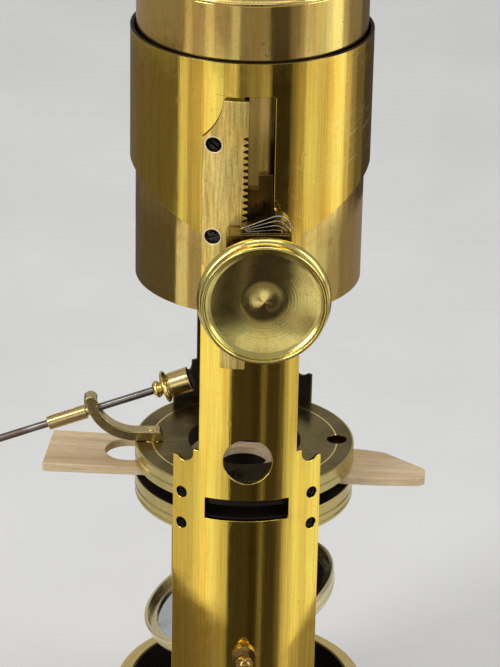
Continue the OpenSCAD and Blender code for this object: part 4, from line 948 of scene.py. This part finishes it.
def foot():
    """Foot: neck, bead, a flare that is a quarter oval, and the rim it rests on."""
    neck, bead, plate_r, seat = TUBE_R + 3.1, 1.3, TUBE_R + 4, 9.5
    flare, ogee_h = FOOT_R - neck - 1.8, FOOT_H - 11.4
    return turned([(TUBE_R + 0.02, FOOT_H), (neck - 0.5, FOOT_H), (neck, FOOT_H - 0.5),
                   (neck, FOOT_H - 2.6), (neck - 0.6, FOOT_H - 3),
                   arc(neck + 0.4, FOOT_H - 4.8, (bead * 0.9, -bead), -60, 90, 15),
                   arc(neck + 0.6 + flare, 4.6 + ogee_h, (-flare, -ogee_h), 0, 90, 24),
                   (FOOT_R - 0.9, 4.6), (FOOT_R - 0.9, 3.9), (FOOT_R, 3.4), (FOOT_R, 0.4),
                   (FOOT_R - 0.4, 0), (plate_r, 0), (plate_r, 1.6), (BORE_R - 1.6, 1.6),
                   (BORE_R - 1.6, seat - 0.02), (TUBE_R + 0.02, seat - 0.02)], 0.2, count=220)


def foot_weight():
    """Disc of lead in the foot."""
    r, _, top = box_mm("foot_weight")[1]
    return solid([(0, 1.6), (r, 1.6), (r, top), (0, top)], 0.6)


def stage_disc(node_name, aperture_r, grooves, sockets=()):
    """Disc of the stage: turned lines round its edge, its aperture and accessory holes."""
    low, high = box_mm(node_name)[:, 2]
    a = np.linspace(0, 2 * np.pi, 160, endpoint=False)
    edge = pairs(np.cos(a), np.sin(a))
    holes = [round_hole(0, 0, aperture_r, 120), *(round_hole(x, 0, 2.2) for x in sockets)]
    return sheet((edge * DISC_R, edge), holes, low, high, flat_lay, 0.2, (3, 3), grooves)


def mirror_pivots():
    """Two pivot screws: point, shank, collar and a turned knob."""
    reach = MIRROR_R - 1.5
    profile = chain((0, reach), (0.4, reach), (0.6, reach + 0.3), (0.6, MIRROR_R + 0.6),
                    (1.1, MIRROR_R + 1), (1.1, TUBE_R + 0.05), (2.6, TUBE_R + 0.05),
                    (2.75, TUBE_R + 0.4), (2.6, TUBE_R + 0.9), (1.2, TUBE_R + 1.3),
                    (1, TUBE_R + 2), arc(0, TUBE_R + 3.9, 1.9, -60, 90, 15))
    return joined(*(solid(profile, count=64, at=outwards(a, MIRROR_H)) for a in (0, 180)))


LOWER_STAGE_Z0, LOWER_STAGE_Z1 = box_mm("stage_lower_disc")[:, 2]

piece("sleeve_and_limbs", "stand", upright_tube(), tube_brass, "brass", "limb_tube")
piece("toothed_rack", "stand", rack(), rack_brass, "pale_brass", "rack")
piece("rack_screw_heads", "stand", rack_screws(), blued_steel, "blued_steel", "rack_screws")
piece("turned_foot", "stand", foot(), turned_brass, "brass", "foot_ring")
piece("lead_weight", "stand", foot_weight(), lead, "lead", "foot_weight")
piece("upper_disc", "stand",
      stage_disc("stage_upper_disc", APERTURE_R, [(STAGE_Z - UPPER_DISC_T * 0.53, 0.25, 0.3)],
                 (-ACCESSORY_R, ACCESSORY_R)), disc_brass, "stage_brass", "stage_upper_disc")
piece("lower_disc", "stand",
      stage_disc("stage_lower_disc", 9.5, [(LOWER_STAGE_Z1 - LOWER_DISC_T * 0.52, 0.25, 0.3),
                                           (LOWER_STAGE_Z0 + 0.9, 0.22, 0.22)]),
      disc_brass, "stage_brass", "stage_lower_disc")
piece("stage_screw_heads", "stand", stage_screws(), blued_steel, "blued_steel", "stage_screws")
piece("pivot_screws", "stand", mirror_pivots(), shaded_pivot_brass, "brass", "mirror_pivots")


# Drum, pinion box and pinion

PILLAR_X = -0.9


def turned_line(r, z):
    """Line cut round an edge."""
    return [(r, z - 0.22), (r - 0.22, z), (r, z + 0.22)]


def ring_over(node_name, inner, ease, count=160):
    """Plain ring with a CAD node's outer radius and levels."""
    (_, _, low), (r, _, high) = box_mm(node_name)
    return turned(box_outline(inner, r, low, high), ease, count=count)


def lens(node_name, bulge):
    """Doubly curved lens: both faces are parabolas in the radius."""
    (_, _, low), (r, _, high) = box_mm(node_name)
    x = np.linspace(0, r, 14)
    drop = bulge * (x / r) ** 2
    return solid([pairs(x, low + drop), pairs(x, high - drop)[::-1]], 0.05, arcs=2, count=96)


def snout():
    """Snout: a quarter curve from the objective's lip up to the flange under the drum."""
    low = box_mm("snout")[0][2]
    top_r, tip, spigot, bore = 9.5, 7.3, 6.98, 5.0
    spread = top_r - 0.9 - tip
    return turned([(bore, low + 4), (6.22, low + 4), (6.22, low), (tip - 0.2, low),
                   (tip + 0.3, low + 0.6), (tip + 0.3, low + 2), (tip, low + 2.4),
                   arc(tip + spread, low + 2.6, (-spread, 10.5), 0, 90, 14),
                   (top_r, DRUM_Z0 - 2.6), (top_r, DRUM_Z0 - 0.02), (spigot, DRUM_Z0 - 0.02),
                   (spigot, DRUM_Z0 + 3.6), (5.3, DRUM_Z0 + 3.6), (5.3, DRUM_Z0 - 4),
                   (bore, low + 8)], 0.15)


def objective_cell():
    """Cell of the objective, with a turned line round its lip."""
    low, high = box_mm("objective_cell")[:, 2]
    lip, r, seat, bore = 7.0, 6.2, 4.22, 3.5
    return turned([(bore, low), (lip, low), turned_line(lip, low + 1.2), (lip, low + 2.3),
                   (r, low + 2.3), (r, high), (seat, high), (seat, low + 2.3), (bore, low + 2.3)])


def drum_cap():
    """Cap of the drum: bead, band with a second bead, ogee and the collar of the draw tube."""
    bore, top, band = 11.66, box_mm("drum_cap")[1][2], DRUM_Z1 + 8
    collar, shoulder = bore + 1.6, top - 9
    t = np.linspace(0, 1, 25)
    ogee = pairs(collar + 1.4 + (DRUM_R - 2.6 - collar) * np.cos(t * np.pi / 2),
                 band + (shoulder - band) * (t - 0.16 * np.sin(t * np.pi)))
    return turned([(DRUM_BORE_R - 0.02, DRUM_Z1 - 4), (DRUM_BORE_R - 0.02, DRUM_Z1 + 0.02),
                   (DRUM_R, DRUM_Z1 + 0.02), arc(DRUM_R, DRUM_Z1 + 0.5, 0.45, -90, 90, 10),
                   (DRUM_R - 0.1, DRUM_Z1 + 1.2), (DRUM_R - 0.1, band - 1.4),
                   arc(DRUM_R - 0.1, band - 0.7, (0.5, 0.6), -90, 90, 10), ogee,
                   (collar, shoulder + 0.3), (collar, top - 2.6),
                   arc(collar, top - 1.3, (0.9, 1.2), -90, 90, 10), (bore, top),
                   (bore, shoulder - 1.7), (DRUM_BORE_R - 2.4, band - 1.6),
                   (DRUM_BORE_R - 1.4, DRUM_Z1 - 4)], 0.15, count=200)


def carriage():
    """Carriage: the strip in the slot with its square notch, and two pillars to the box."""
    low, high = box_mm("carriage")[:, 2]
    _, box_back, box_top = box_mm("pinion_box")[1]
    x0, x1 = SLOT_X[0] + 0.3, SLOT_X[1] - 0.3
    notch0, notch1, notch_z = RACK_TIP_X + 0.05, RACK_TIP_X + 2.35, high - 3.1
    strip = eased([(x0, low), (x1, low), (x1, high), (notch1, high), (notch1, notch_z),
                   (notch0, notch_z), (notch0, high), (x0, high)], 0.15)
    shapes = [sheet(strip, (), DRUM_R, TUBE_R, front_lay, 0.1, (1.2, 4))]
    reach = PINION_R + GEAR_MODULE + 0.4
    for z0, z1 in ((low, PINION_Z - reach), (PINION_Z + reach, box_top)):
        block = eased(box_outline(PILLAR_X, x1, z0, z1), 0.15)
        shapes.append(sheet(block, (), DRUM_R * 0.995, -box_back, facing(), 0.1, (2, 2)))
    return joined(*shapes)


def facing_plate(node_name, ease, holes=()):
    """Plate over a CAD node's whole box, facing the front."""
    low, high = box_mm(node_name)
    outline = eased(box_outline(low[0], high[0], low[2], high[2]), 0.4)
    return sheet(outline, holes, -high[1], -low[1], facing(), ease, (3, 3))


def box_screws():
    """Two slotted screws on the pinion box's cover."""
    low, high = box_mm("pinion_box")[:, 2]
    x, front = (PILLAR_X + SLOT_X[1] - 0.3) / 2, -box_mm("box_screws")[0][1]
    return joined(*(slotted_head(1.3, front, 0.75, turn, towards_front(x, z))
                    for z, turn in ((high - 2.2, 30), (low + 1.4, -10))))


def leaf_route(rise):
    """Route of one leaf of the pinion spring, over the pinion box: its heights are times the rise.

    Only the top leaf, whose rise is 1, goes on down the box's side."""
    (x0, _, _), (x1, _, z) = box_mm("pinion_box")
    less = 1 - rise
    line = [(x0 + 3.4 + less, z), (x1 - 3.2 - less, z + 2.9 * rise),
            (x1 - 2.3 - less, z + 2.9 * rise), (x1 - 1.4 - less, z + 2.1 * rise),
            (x1 - 0.4 - 2 * less, z + 0.3 * rise)]
    return np.array(line + [(x1, z - 2.4)] * (rise == 1))


def beside(line, distance):
    """Points at a distance left of a line of points, across the direction between neighbours."""
    way = np.gradient(line, axis=0)
    return line + unit(pairs(-way[:, 1], way[:, 0])) * distance


def pinion_spring():
    """Four thin leaves, one over the other, spread like a fan."""
    lay, leaves = facing(box_mm("pinion_spring")[1][1]), []
    for k, rise in enumerate((0.16, 0.42, 0.7, 1)):
        low, high = (beside(leaf_route(rise), d + k * 0.25) for d in (0.05, 0.24))
        outline = eased(chain(low, high[::-1]), 1.2, 5)
        leaves.append(sheet(outline, (), 0, 2.8, lay, 0.05, (1, 1)))
    return joined(*leaves)


def pinion():
    """Pinion: involute teeth, the tip at X towards the rack, on its arbor."""
    base = PINION_R * math.cos(PRESSURE_ANGLE)
    root, tip = PINION_R - 1.2 * GEAR_MODULE, PINION_R + 0.94 * GEAR_MODULE
    half = (math.pi / 2 / PINION_TEETH + math.tan(PRESSURE_ANGLE) - PRESSURE_ANGLE
            - 0.02 / PINION_R)
    u = np.linspace(0, math.sqrt((tip / base) ** 2 - 1), 6)
    flank = chain((root, half), pairs(base * np.sqrt(1 + u * u), half - (u - np.arctan(u))))
    radius, angle = chain(flank * [1, -1], flank[::-1]).T
    turn = np.pi + np.arange(PINION_TEETH)[:, None] * 2 * np.pi / PINION_TEETH + angle
    outline = pairs(radius * np.cos(turn), radius * np.sin(turn)).reshape(-1, 2)
    front, end = -box_mm("pinion")[:, 1]
    back = TUBE_R + 0.2
    teeth = sheet(eased(outline, 0.05, 1), (), back, back + 1.4, flat_lay, 0.06, (2, 2))
    arbor = solid([(0, end), (1, end), (1, back), (1.5, back), (1.5, front), (0, front)], 0.1,
                  count=48)
    return placed(joined(teeth, arbor), towards_front(PINION_X, PINION_Z))


def focus_knob():
    """Knob: rounded rim, fine steps, a lip, and a dish.

    The dish is a parabola in the radius, with a pointed hill in its middle, and has faint
    ripples from the lathe."""
    low, high = box_mm("focus_knob")
    back, front, r = -high[1] + 1.2, -low[1], (high[0] - low[0]) / 2
    rim_r, lip_r, wall_r, dish_r = 1.45, 0.45, r - 1.8, r - 2.9
    x = np.linspace(dish_r, 0, 60)
    hill = 1.25 * np.maximum(0, 1 - x / 5) ** 1.5
    ripple = 0.0015 * np.sin(x * 9.5) * np.clip(x / 3, 0, 1) * np.clip((dish_r - x) / 2, 0, 1)
    dish = pairs(x, front - 1.45 - 1.95 * (1 - (x / dish_r) ** 2) + hill + ripple)
    return solid([(0, back - 1.2), (3.6, back - 1.2), (3.6, back), (r - 3.4, back),
                  arc(r - rim_r, back + rim_r + 0.5, rim_r, -90, 60, 14),
                  (r - 0.8, back + 2 * rim_r + 0.45),
                  arc(wall_r + 0.15 + lip_r, front - lip_r, lip_r, 0, 180, 10),
                  (wall_r, front - 0.8), (wall_r - 0.5, front - 1.15), dish],
                 count=200, at=towards_front(PINION_X, PINION_Z))


piece("drum_tube", "drum", ring_over("body_drum", DRUM_BORE_R, 0.2, 220), drum_brass,
      "tarnished_brass", "body_drum")
piece("drum_floor", "drum", ring_over("drum_plate", 7, 0.15), drum_brass, "tarnished_brass",
      "drum_plate")
piece("objective_snout", "drum", snout(), turned_brass, "brass", "snout")
piece("objective_mount", "drum", objective_cell(), turned_brass, "brass", "objective_cell")
piece("front_lens", "drum", lens("objective_lens", 0.7), lens_glass, "glass", "objective_lens")
piece("turned_cap", "drum", drum_cap(), turned_brass, "brass", "drum_cap")
piece("carriage_strip", "drum", carriage(), shaded_carriage_brass, "tarnished_brass", "carriage")
piece("box_body", "drum", facing_plate("pinion_box", 0.2), box_brass, "tarnished_brass",
      "pinion_box")
piece("box_front", "drum",
      facing_plate("box_cover", 0.15, [round_hole(PINION_X, PINION_Z, 1.55, 40)]), box_brass,
      "brass", "box_cover")
piece("cover_screws", "drum", box_screws(), blued_steel, "blued_steel", "box_screws")
piece("spring_leaves", "drum", pinion_spring(), spring_steel, "bright_steel", "pinion_spring")
piece("toothed_pinion", "pinion", pinion(), rod_steel, "steel", "pinion")
piece("dished_knob", "pinion", focus_knob(), knob_brass, "brass", "focus_knob")


# Eyepiece

SHUTTER_X, SHUTTER_OPEN = -7.6, 48


def eye_cell():
    """Cell of the eye lens, two turned lines round it."""
    (_, _, low), (r, _, high) = box_mm("eye_cell")
    top, draw_r = low + 2.4, r - 1.38
    return turned([(draw_r, low), (r, low), turned_line(r, top - 1.6), turned_line(r, top + 2.6),
                   (r, high), (7.52, high), (7.52, top + 1.4), (6.5, top + 1.4), (6.5, top + 0.02),
                   (draw_r, top + 0.02)], 0.1)


def eyecap():
    """Eyecap: a bead round a shallow dish, with the eye hole in its floor."""
    (_, _, low), (r, _, _) = box_mm("eyecap")
    dish, fall = low + 2.3, np.sin(np.radians(np.linspace(0, 90, 9)))
    return turned([(2.5, low + 1.2), (7.5, low + 0.6), (7.5, low), (13, low), (r - 1.4, low + 1.6),
                   arc(r - 1, low + 2.7, 1, -60, 90, 12),
                   pairs(r - 1.6 - 1.4 * fall, dish + 1.35 * (1 - fall)), (2.5, dish)])


def eye_shutter():
    """Shutter: an arm from its pivot to a round blade with a finger stud."""
    reach, blade_r, hub_r, neck = -SHUTTER_X, 3.4, 1.7, 1.1
    a, b = (math.degrees(math.asin(neck / r)) for r in (blade_r, hub_r))
    outline = chain(arc(reach, 0, blade_r, -180 + a, 180 - a, 40), arc(0, 0, hub_r, b, 360 - b, 20))
    blade = sheet(eased(outline, 0.3, 2), [round_hole(0, 0, 0.75, 20)], 0, 0.6, flat_lay, 0.1,
                  (1.5, 1.5))
    stud = solid([(0, 0.55), (0.6, 0.55), (0.6, 1.5), (0, 1.5)], 0.2, count=24,
                 at=shifted(reach + 1.8, 0, 0))
    at = shifted(SHUTTER_X, 0, box_mm("eye_shutter")[0][2]) @ spun(SHUTTER_OPEN)
    return placed(joined(blade, stud), at)


DRAW_R = box_mm("draw_tube")[1][0]
SHUTTER_SCREW = slotted_head(1.3, box_mm("shutter_screw")[1][2], 0.8, 25, shifted(SHUTTER_X, 0, 0))

piece("sliding_tube", "eyepiece", ring_over("draw_tube", DRAW_R - 0.7, 0.1), pale_brass,
      "pale_brass", "draw_tube")
piece("eye_lens_cell", "eyepiece", eye_cell(), turned_brass, "brass", "eye_cell")
piece("upper_lens", "eyepiece", lens("eye_lens", 0.8), lens_glass, "glass", "eye_lens")
piece("lower_lens", "eyepiece", lens("field_lens", 0.9), lens_glass, "glass", "field_lens")
piece("dished_eyecap", "eyepiece", eyecap(), turned_brass, "brass", "eyecap")
piece("pivot_screw", "eyepiece", SHUTTER_SCREW, blued_steel, "blued_steel", "shutter_screw")
piece("swinging_shutter", "shutter", eye_shutter(), pale_brass, "pale_brass", "eye_shutter")


# Slider and forceps

BEND_R, ARM_T, ARM_W = 11.7, 2.3, 3.5
ARM_Z = STAGE_Z + 0.05
BEND_X, BEND_Z = -(DISC_R - 0.4), ARM_Z + BEND_R
ACROSS_ROD = shifted(BEND_X - BEND_R + ARM_T / 2 + 0.55, 0, BEND_Z - 4.6) @ spun(-19.5, "Y")
ALONG_ROD = ACROSS_ROD @ spun(90, "Y")


def wood_slider():
    """Slider: a flat lath with two holes and a cut rear corner at its right end."""
    low, high = box_mm("wood_slider")[:, 2]
    length, half = 86, 7.45
    left = -length * 0.521
    right = left + length
    outline = [(left, -half - 1.8), (left + 0.4, -half - 2.2), (right - 24, -half + 0.4),
               (right - 10, -half + 0.9), (right - 1.2, -half + 1.8), (right, -half + 2.9),
               (right, -0.9), (right - 1.4, 0.4), (right - 9.6, half - 1.1),
               (right - 14, half - 0.3), (right - 19, half), (left + 0.4, half),
               (left, half - 0.4)]
    holes = [round_hole(x, 0, 5.3, 60) for x in (0, -26.4)]
    return placed(sheet(eased(outline, 0.5), holes, low, high, flat_lay, 0.22, (3, 3)),
                  spun(-SLIDER_TURN))


def forceps_arm():
    """Arm from the side: a flat foot, a C of two circles, and a rounded head."""
    middle_r, head = BEND_R - ARM_T / 2, math.radians(180 + 12)
    outline = chain((BEND_X + 6.1, ARM_Z), (BEND_X + 5.3, ARM_Z + ARM_T),
                    arc(BEND_X, BEND_Z, BEND_R - ARM_T, -90, -161, 24),
                    arc(BEND_X + middle_r * math.cos(head), BEND_Z + middle_r * math.sin(head),
                        ARM_T / 2 + 0.35, -30, 234, 22),
                    arc(BEND_X, BEND_Z, BEND_R, -175, -90, 26))
    return sheet(eased(outline, 0.4, 2), (), 0, ARM_W, facing(ARM_W / 2), 0.22, (1.5, 1.5))


def forceps_pin():
    """Pin with a shoulder, in the accessory hole."""
    low, high = box_mm("forceps_pin")[:, 2]
    return solid([(0, low), (2.14, low), (2.14, ARM_Z), (1.1, ARM_Z), (1.1, high), (0, high)],
                 count=48, at=shifted(-ACCESSORY_R, 0, 0))


def forceps_tube():
    """Split tube: two half shells for the split length, and a whole ring at the arm."""
    r, bore, slot, head = 1.6, 0.88, 0.14, ARM_T * 0.62
    left, root = -9 - head, -2 - head
    outline = eased(box_outline(slot, math.pi * r - slot, left, root + 0.1), 0.15)
    half = sheet(outline, (), bore, r, round_lay(r), 0.1, (0.4, 2))
    whole = turned([(bore, root), (r, root), (r, -head), (1.08, -head), (1.08, head),
                    (bore, head)], 0.08, count=48)
    return placed(joined(whole, placed(half, spun(90)), placed(half, spun(270))), ALONG_ROD)


def along_rod(radius, first, last, end, ease):
    """Round bar on the rod's axis, its first end tapered over a length."""
    return solid([(0, first), (radius, first + end), (radius, last), (0, last)], ease, count=64,
                 at=ALONG_ROD)


def specimen_cup():
    """Cup with two beads below it, turned on the rod's end."""
    r, bore, start = 2.9, 0.87, 14.6
    profile = chain((bore, 0), (1.3, 0), arc(1.2, 0.9, 0.75, -60, 60, 10), (1.35, 1.9),
                    arc(2, 2.9, (1.66, 0.7), -60, 60, 10), (r - 0.4, 3.8), (r - 0.15, 4.2),
                    (r, 8), (r, 8.6), (r - 0.6, 8.6), (r - 0.6, 4.4), (bore, 4.4))
    return turned(profile + [0, start], count=64, at=ALONG_ROD)


def jaw(side):
    """Spring blade above or below the rod, 2 mm wide, from its root to the tip."""
    root, tip, thick, z = -22.8, -40.8, 0.5, 0.32
    outline = [(root, z), (root - 3.4, z), (root - 7, 1.5), (tip + 5, 1.2), (tip + 1, 0.06),
               (tip, 0.06), (tip, 0.5), (tip + 1.4, 0.6), (tip + 5, 1.2 + thick),
               (root - 7, 1.5 + thick), (root - 3.2, z + thick), (root, z + thick)]
    radii = (0.1, 1.5, 3, 3, 1, 0.1, 0.1, 1, 3, 3, 1.5, 0.1)
    blade = eased(np.array(outline) * [1, side], radii, 4)
    return placed(sheet(blade, (), 0, 2, facing(1), 0.06, (1, 1)), ACROSS_ROD)


piece("wooden_lath", "slider", wood_slider(), slider_wood, "wood", "wood_slider")
piece("curved_arm", "forceps", forceps_arm(), cast_brass, "brass", "forceps_arm")
piece("swivel_pin", "forceps", forceps_pin(), turned_brass, "brass", "forceps_pin")
piece("split_tube", "forceps", forceps_tube(), cast_brass, "brass", "forceps_tube")
piece("steel_rod", "rod", along_rod(0.85, -24, 18.6, 0.8, 0.1), rod_steel, "steel")
piece("beaded_cup", "rod", specimen_cup(), turned_brass, "brass", "specimen_cup")
piece("cup_plug", "rod", along_rod(2.28, 19.2, 23.7, 0, 0.25), black_brass, "blackened_brass",
      "specimen_plug")
piece("upper_blade", "upper_jaw", jaw(1), rod_steel, "steel", "jaw_upper")
piece("lower_blade", "lower_jaw", jaw(-1), rod_steel, "steel", "jaw_lower")


# Mirror

ON_MIRROR = shifted(0, 0, MIRROR_H) @ spun(-18, "Y")


def mirror_cell():
    """Mirror's cell: back, moulded side and rim, turned about the mirror's own axis."""
    r, low, high = MIRROR_R, -2.5, 2.5
    return solid([(0, low), (r - 2.2, low), (r - 1.1, low + 0.5), (r - 0.7, low + 1.2),
                  (r - 0.5, low + 1.9), (r - 0.7, low + 2.1), (r - 0.35, low + 2.3),
                  (r - 0.2, low + 3.7), (r - 0.45, low + 3.9), (r, low + 4.2), (r, high - 0.2),
                  (r - 0.2, high), (r - 0.9, high), (r - 0.9, low + 2.4), (r - 2.3, low + 2),
                  (r - 2.3, low + 0.8), (0, low + 0.8)], 0.1, count=200, at=ON_MIRROR)


def mirror_face():
    """Mirror's glass, its face hollowed by a parabola."""
    r, back, thick, hollow = MIRROR_R - 2.35, -1.65, 2, 0.5
    x = np.linspace(r, 0, 16)
    face = pairs(x, back + thick - hollow * (1 - (x / r) ** 2))
    return solid([(0, back), (r, back), face], 0.05, arcs=2, at=ON_MIRROR)


def mirror_ring():
    """Thin ring over the glass."""
    r, low = MIRROR_R - 0.92, 0.4
    return turned(box_outline(r - 1.8, r, low, low + 0.6), at=ON_MIRROR)


piece("moulded_cell", "mirror", mirror_cell(), pale_brass, "brass", "mirror_cell")
piece("mirror_face", "mirror", mirror_face(), mirror_glass, "mirror", "mirror_glass")
piece("glass_ring", "mirror", mirror_ring(), pale_brass, "pale_brass", "mirror_ring")

# CAD nodes that show as they are
for name, finish in {
        "guide_rings": drum_brass, "foot_plate": turned_brass, "foot_plate_screws": blued_steel,
        "tube_screws": blued_steel, "drum_stop": black_brass, "objective_ring": black_brass,
        "field_cell": black_brass, "carriage_screws": blued_steel, "slider_springs": rod_steel,
        "forceps_rod": rod_steel, "jaw_rivet": cast_brass}.items():
    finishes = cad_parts[name].data.materials
    finishes.clear()
    finishes.append(finish)


# Floor and light

FLOOR_END = 270
CARD_STEPS, CARD_HEIGHT = 12, 0.5
CARDS = (
    # lowest and highest level on the wall that shows the cards, then its angles from left to
    # right, with the tone of a card between each two; a level that slopes is a pair
    # the foot's end of the limbs
    (8, (66, 60), (-40, 0.15, -26.5)), (8, (60, 59), (-26.5, 0.17, -23)),
    (8, (59, 57), (-23, 0.22, -16)), (8, (57, 54.5), (-16, 0.28, -9)),
    (8, (46, 47.5), (19.2, 0.6, 22.9)), (8, (47.5, 51), (22.9, 0.42, 28.3)),
    (8, (51, 60), (28.3, 0.3, 40)),
    # the limbs
    ((66, 60), 98, (-40, 0.62, -26.5)), ((60, 59), 98, (-26.5, 0.8, -23)),
    ((59, 57), 98, (-23, 1.0, -16)), ((57, 56), 98, (-16, 0.84, -13)),
    ((56, 54.5), 98, (-13, 0.66, -9)), (98, 149, (-24.5, 1.04, -13, 0.84, -9.3)),
    (8, 149, (-9, 0.05, 1.7, 0.032, 4.7, 0.06, 6, 0.18, 8.2, 0.05, 14.6, 0.12, 17.2, 0.46, 19.2)),
    ((46, 47.5), 149, (19.2, 0.7, 22.9)), ((47.5, 51), 98, (22.9, 0.93, 28.3)),
    ((51, 54), 98, (28.3, 0.82, 31.7)), ((54, 60), 98, (31.7, 0.98, 40)),
    # the drum in the windows
    (98, 149, (-86, 0.1, -40, 0.75, -33, 0.36, -24.5)),
    (98, 149, (22.9, 0.55, 27, 0.88, 34, 0.6, 41, 0.36, 50, 0.24, 84)),
    # the sleeve
    (149, 187, (-86, 0.14, -36.9, 0.72, -31.9, 0.46, -29.3, 0.58, -24.1, 1.04, -17.5, 0.92, -14.6,
                0.55, -12.8, 0.66, -7.9, 0.16, -3.3, 0.27, 0, 0.23, 2.7, 0.38, 7.2, 0.03, 17, 0.19,
                19.6, 0.42, 24, 0.8, 30, 0.68, 36.5, 0.88, 39.4, 1.12, 47, 0.66, 51.5, 0.29, 56,
                0.14, 64, 0.06, 84)),
    # the drum above the sleeve
    (187, FLOOR_END, (-86, 0.28, -35.5, 0.6, -32, 0.4, -24.5, 0.72, -20.2, 0.32, -11.5, 0.62, -7.7,
                      0.27, 6.5, 0.08, 16.5, 0.2, 21.7, 0.36, 24.3, 0.62, 29.9, 0.74, 36.5, 0.92,
                      40, 1.3, 47, 0.45, 52, 0.25, 65, 0.12, 84)))


def paper(name, spots, faces, finish, smooth=False):
    """Sheet of paper, its spots in metres."""
    mesh = bpy.data.meshes.new(name)
    mesh.from_pydata(spots.tolist(), [], faces.tolist())
    mesh.polygons.foreach_set("use_smooth", np.full(len(faces), smooth))
    mesh.materials.append(finish)
    return added(name, mesh)


def studio():
    """Pale floor that curves up behind the object, and a soft even world."""
    made, surface, place = new_material("pale_paper")
    tone = mixed(place.noise(9.0, 3.0, 0.5).span(0.3, 0.7), (0.60, 0.60, 0.59), (0.64, 0.64, 0.63))
    plug(surface, {"Base Color": tone, "Roughness": 0.9})
    half, near, depth, bend, height = 2.4, -2.2, 0.9, 0.5, 2.2
    y, z = chain((near, 0), arc(depth, bend, bend, -90, 0, 23), (depth + bend, height)).T
    spots = pairs([[-half], [half]], y, z).reshape(-1, 3)
    floor = paper("floor", spots, grid_faces(2, len(y), False, False), made, smooth=True)

    world = bpy.data.worlds.new("room")
    world.use_nodes = True
    plug(world.node_tree.nodes["Background"], {"Color": (0.66, 0.66, 0.67), "Strength": 0.75})
    bpy.context.scene.world = world


def card(name, spots, faces, tone):
    """Sheet of paper that gives its own tone, warmer the darker it is, and shows only in gloss."""
    light = min(tone, 1)
    made, surface, _ = new_material(name)
    plug(surface, {"Base Color": (0, 0, 0), "Emission Strength": 1, "Specular IOR Level": 0,
                   "Emission Color": (tone, tone * (0.82 + 0.18 * light),
                                      tone * (0.78 + 0.22 * light))})
    sheet_of_paper = paper(name, spots, faces, made)
    sheet_of_paper.visible_camera = sheet_of_paper.visible_diffuse = False
    sheet_of_paper.visible_transmission = sheet_of_paper.visible_shadow = False


def reflection_cards():
    """Dark and light cards flat on the floor, seen only in reflections, as a studio uses for metal.

    The edge at wall angle a starts on the tube at a and runs outwards the way in which the
    camera's ray is thrown back there, so that each card shows as an upright band. A ray that
    meets the wall at level z goes on for z times its run over its fall before it lands. One
    more card stands upright before the object."""
    eye = np.array(bpy.context.scene.camera.matrix_world.translation) / MM
    rows = [(low, high, run[k:k + 3]) for low, high, run in CARDS
            for k in range(0, len(run) - 2, 2)]
    for k, (low, high, (first, tone, last)) in enumerate(rows):
        a = np.radians(np.linspace(first, last, CARD_STEPS))
        wall = pairs(np.sin(a), -np.cos(a))
        way = wall * TUBE_R - eye[:2]
        run = np.linalg.norm(way, axis=-1)
        seen = way / run[:, None]
        thrown = seen - 2 * np.sum(seen * wall, -1, keepdims=True) * wall
        ends = []
        for level in (low, high):
            z = np.linspace(*np.broadcast_to(level, 2), CARD_STEPS)
            lands = wall * TUBE_R + thrown * (z * run / (eye[2] - z))[:, None]
            ends.append(pairs(*lands.T, CARD_HEIGHT) * MM)
        card("card_%d" % k, np.stack(ends, 1).reshape(-1, 3),
             grid_faces(CARD_STEPS, 2, False, False), tone)
    left, right, near, low, high = -0.8, 0.45, -1.25, 0.14, 0.5
    front = np.array([(x, near, z) for x, z in box_outline(left, right, low, high)])
    card("front_card", front, np.array([[0, 1, 2, 3]]), 1.15)


def soft_box(name, place, aim, size, power):
    """Rectangular lamp that looks at a point."""
    lamp = bpy.data.lights.new(name, "AREA")
    lamp.shape = "RECTANGLE"
    lamp.size, lamp.size_y = size
    lamp.energy = power
    way = Vector(aim) - Vector(place)
    turn = way.to_track_quat("-Z", "Y").to_matrix().to_4x4()
    added(name, lamp).matrix_world = Matrix.Translation(place) @ turn


bpy.context.scene.view_settings.view_transform = "Standard"
studio()
reflection_cards()
soft_box("window", (-0.9, -0.75, 0.75), (0, 0, 0.12), (0.35, 1.2), 9)
soft_box("fill", (1.1, -0.5, 0.6), (0, 0, 0.12), (0.5, 1.0), 5)
soft_box("top", (0.0, 0.1, 1.3), (0, 0, 0.1), (0.9, 0.7), 6.5)
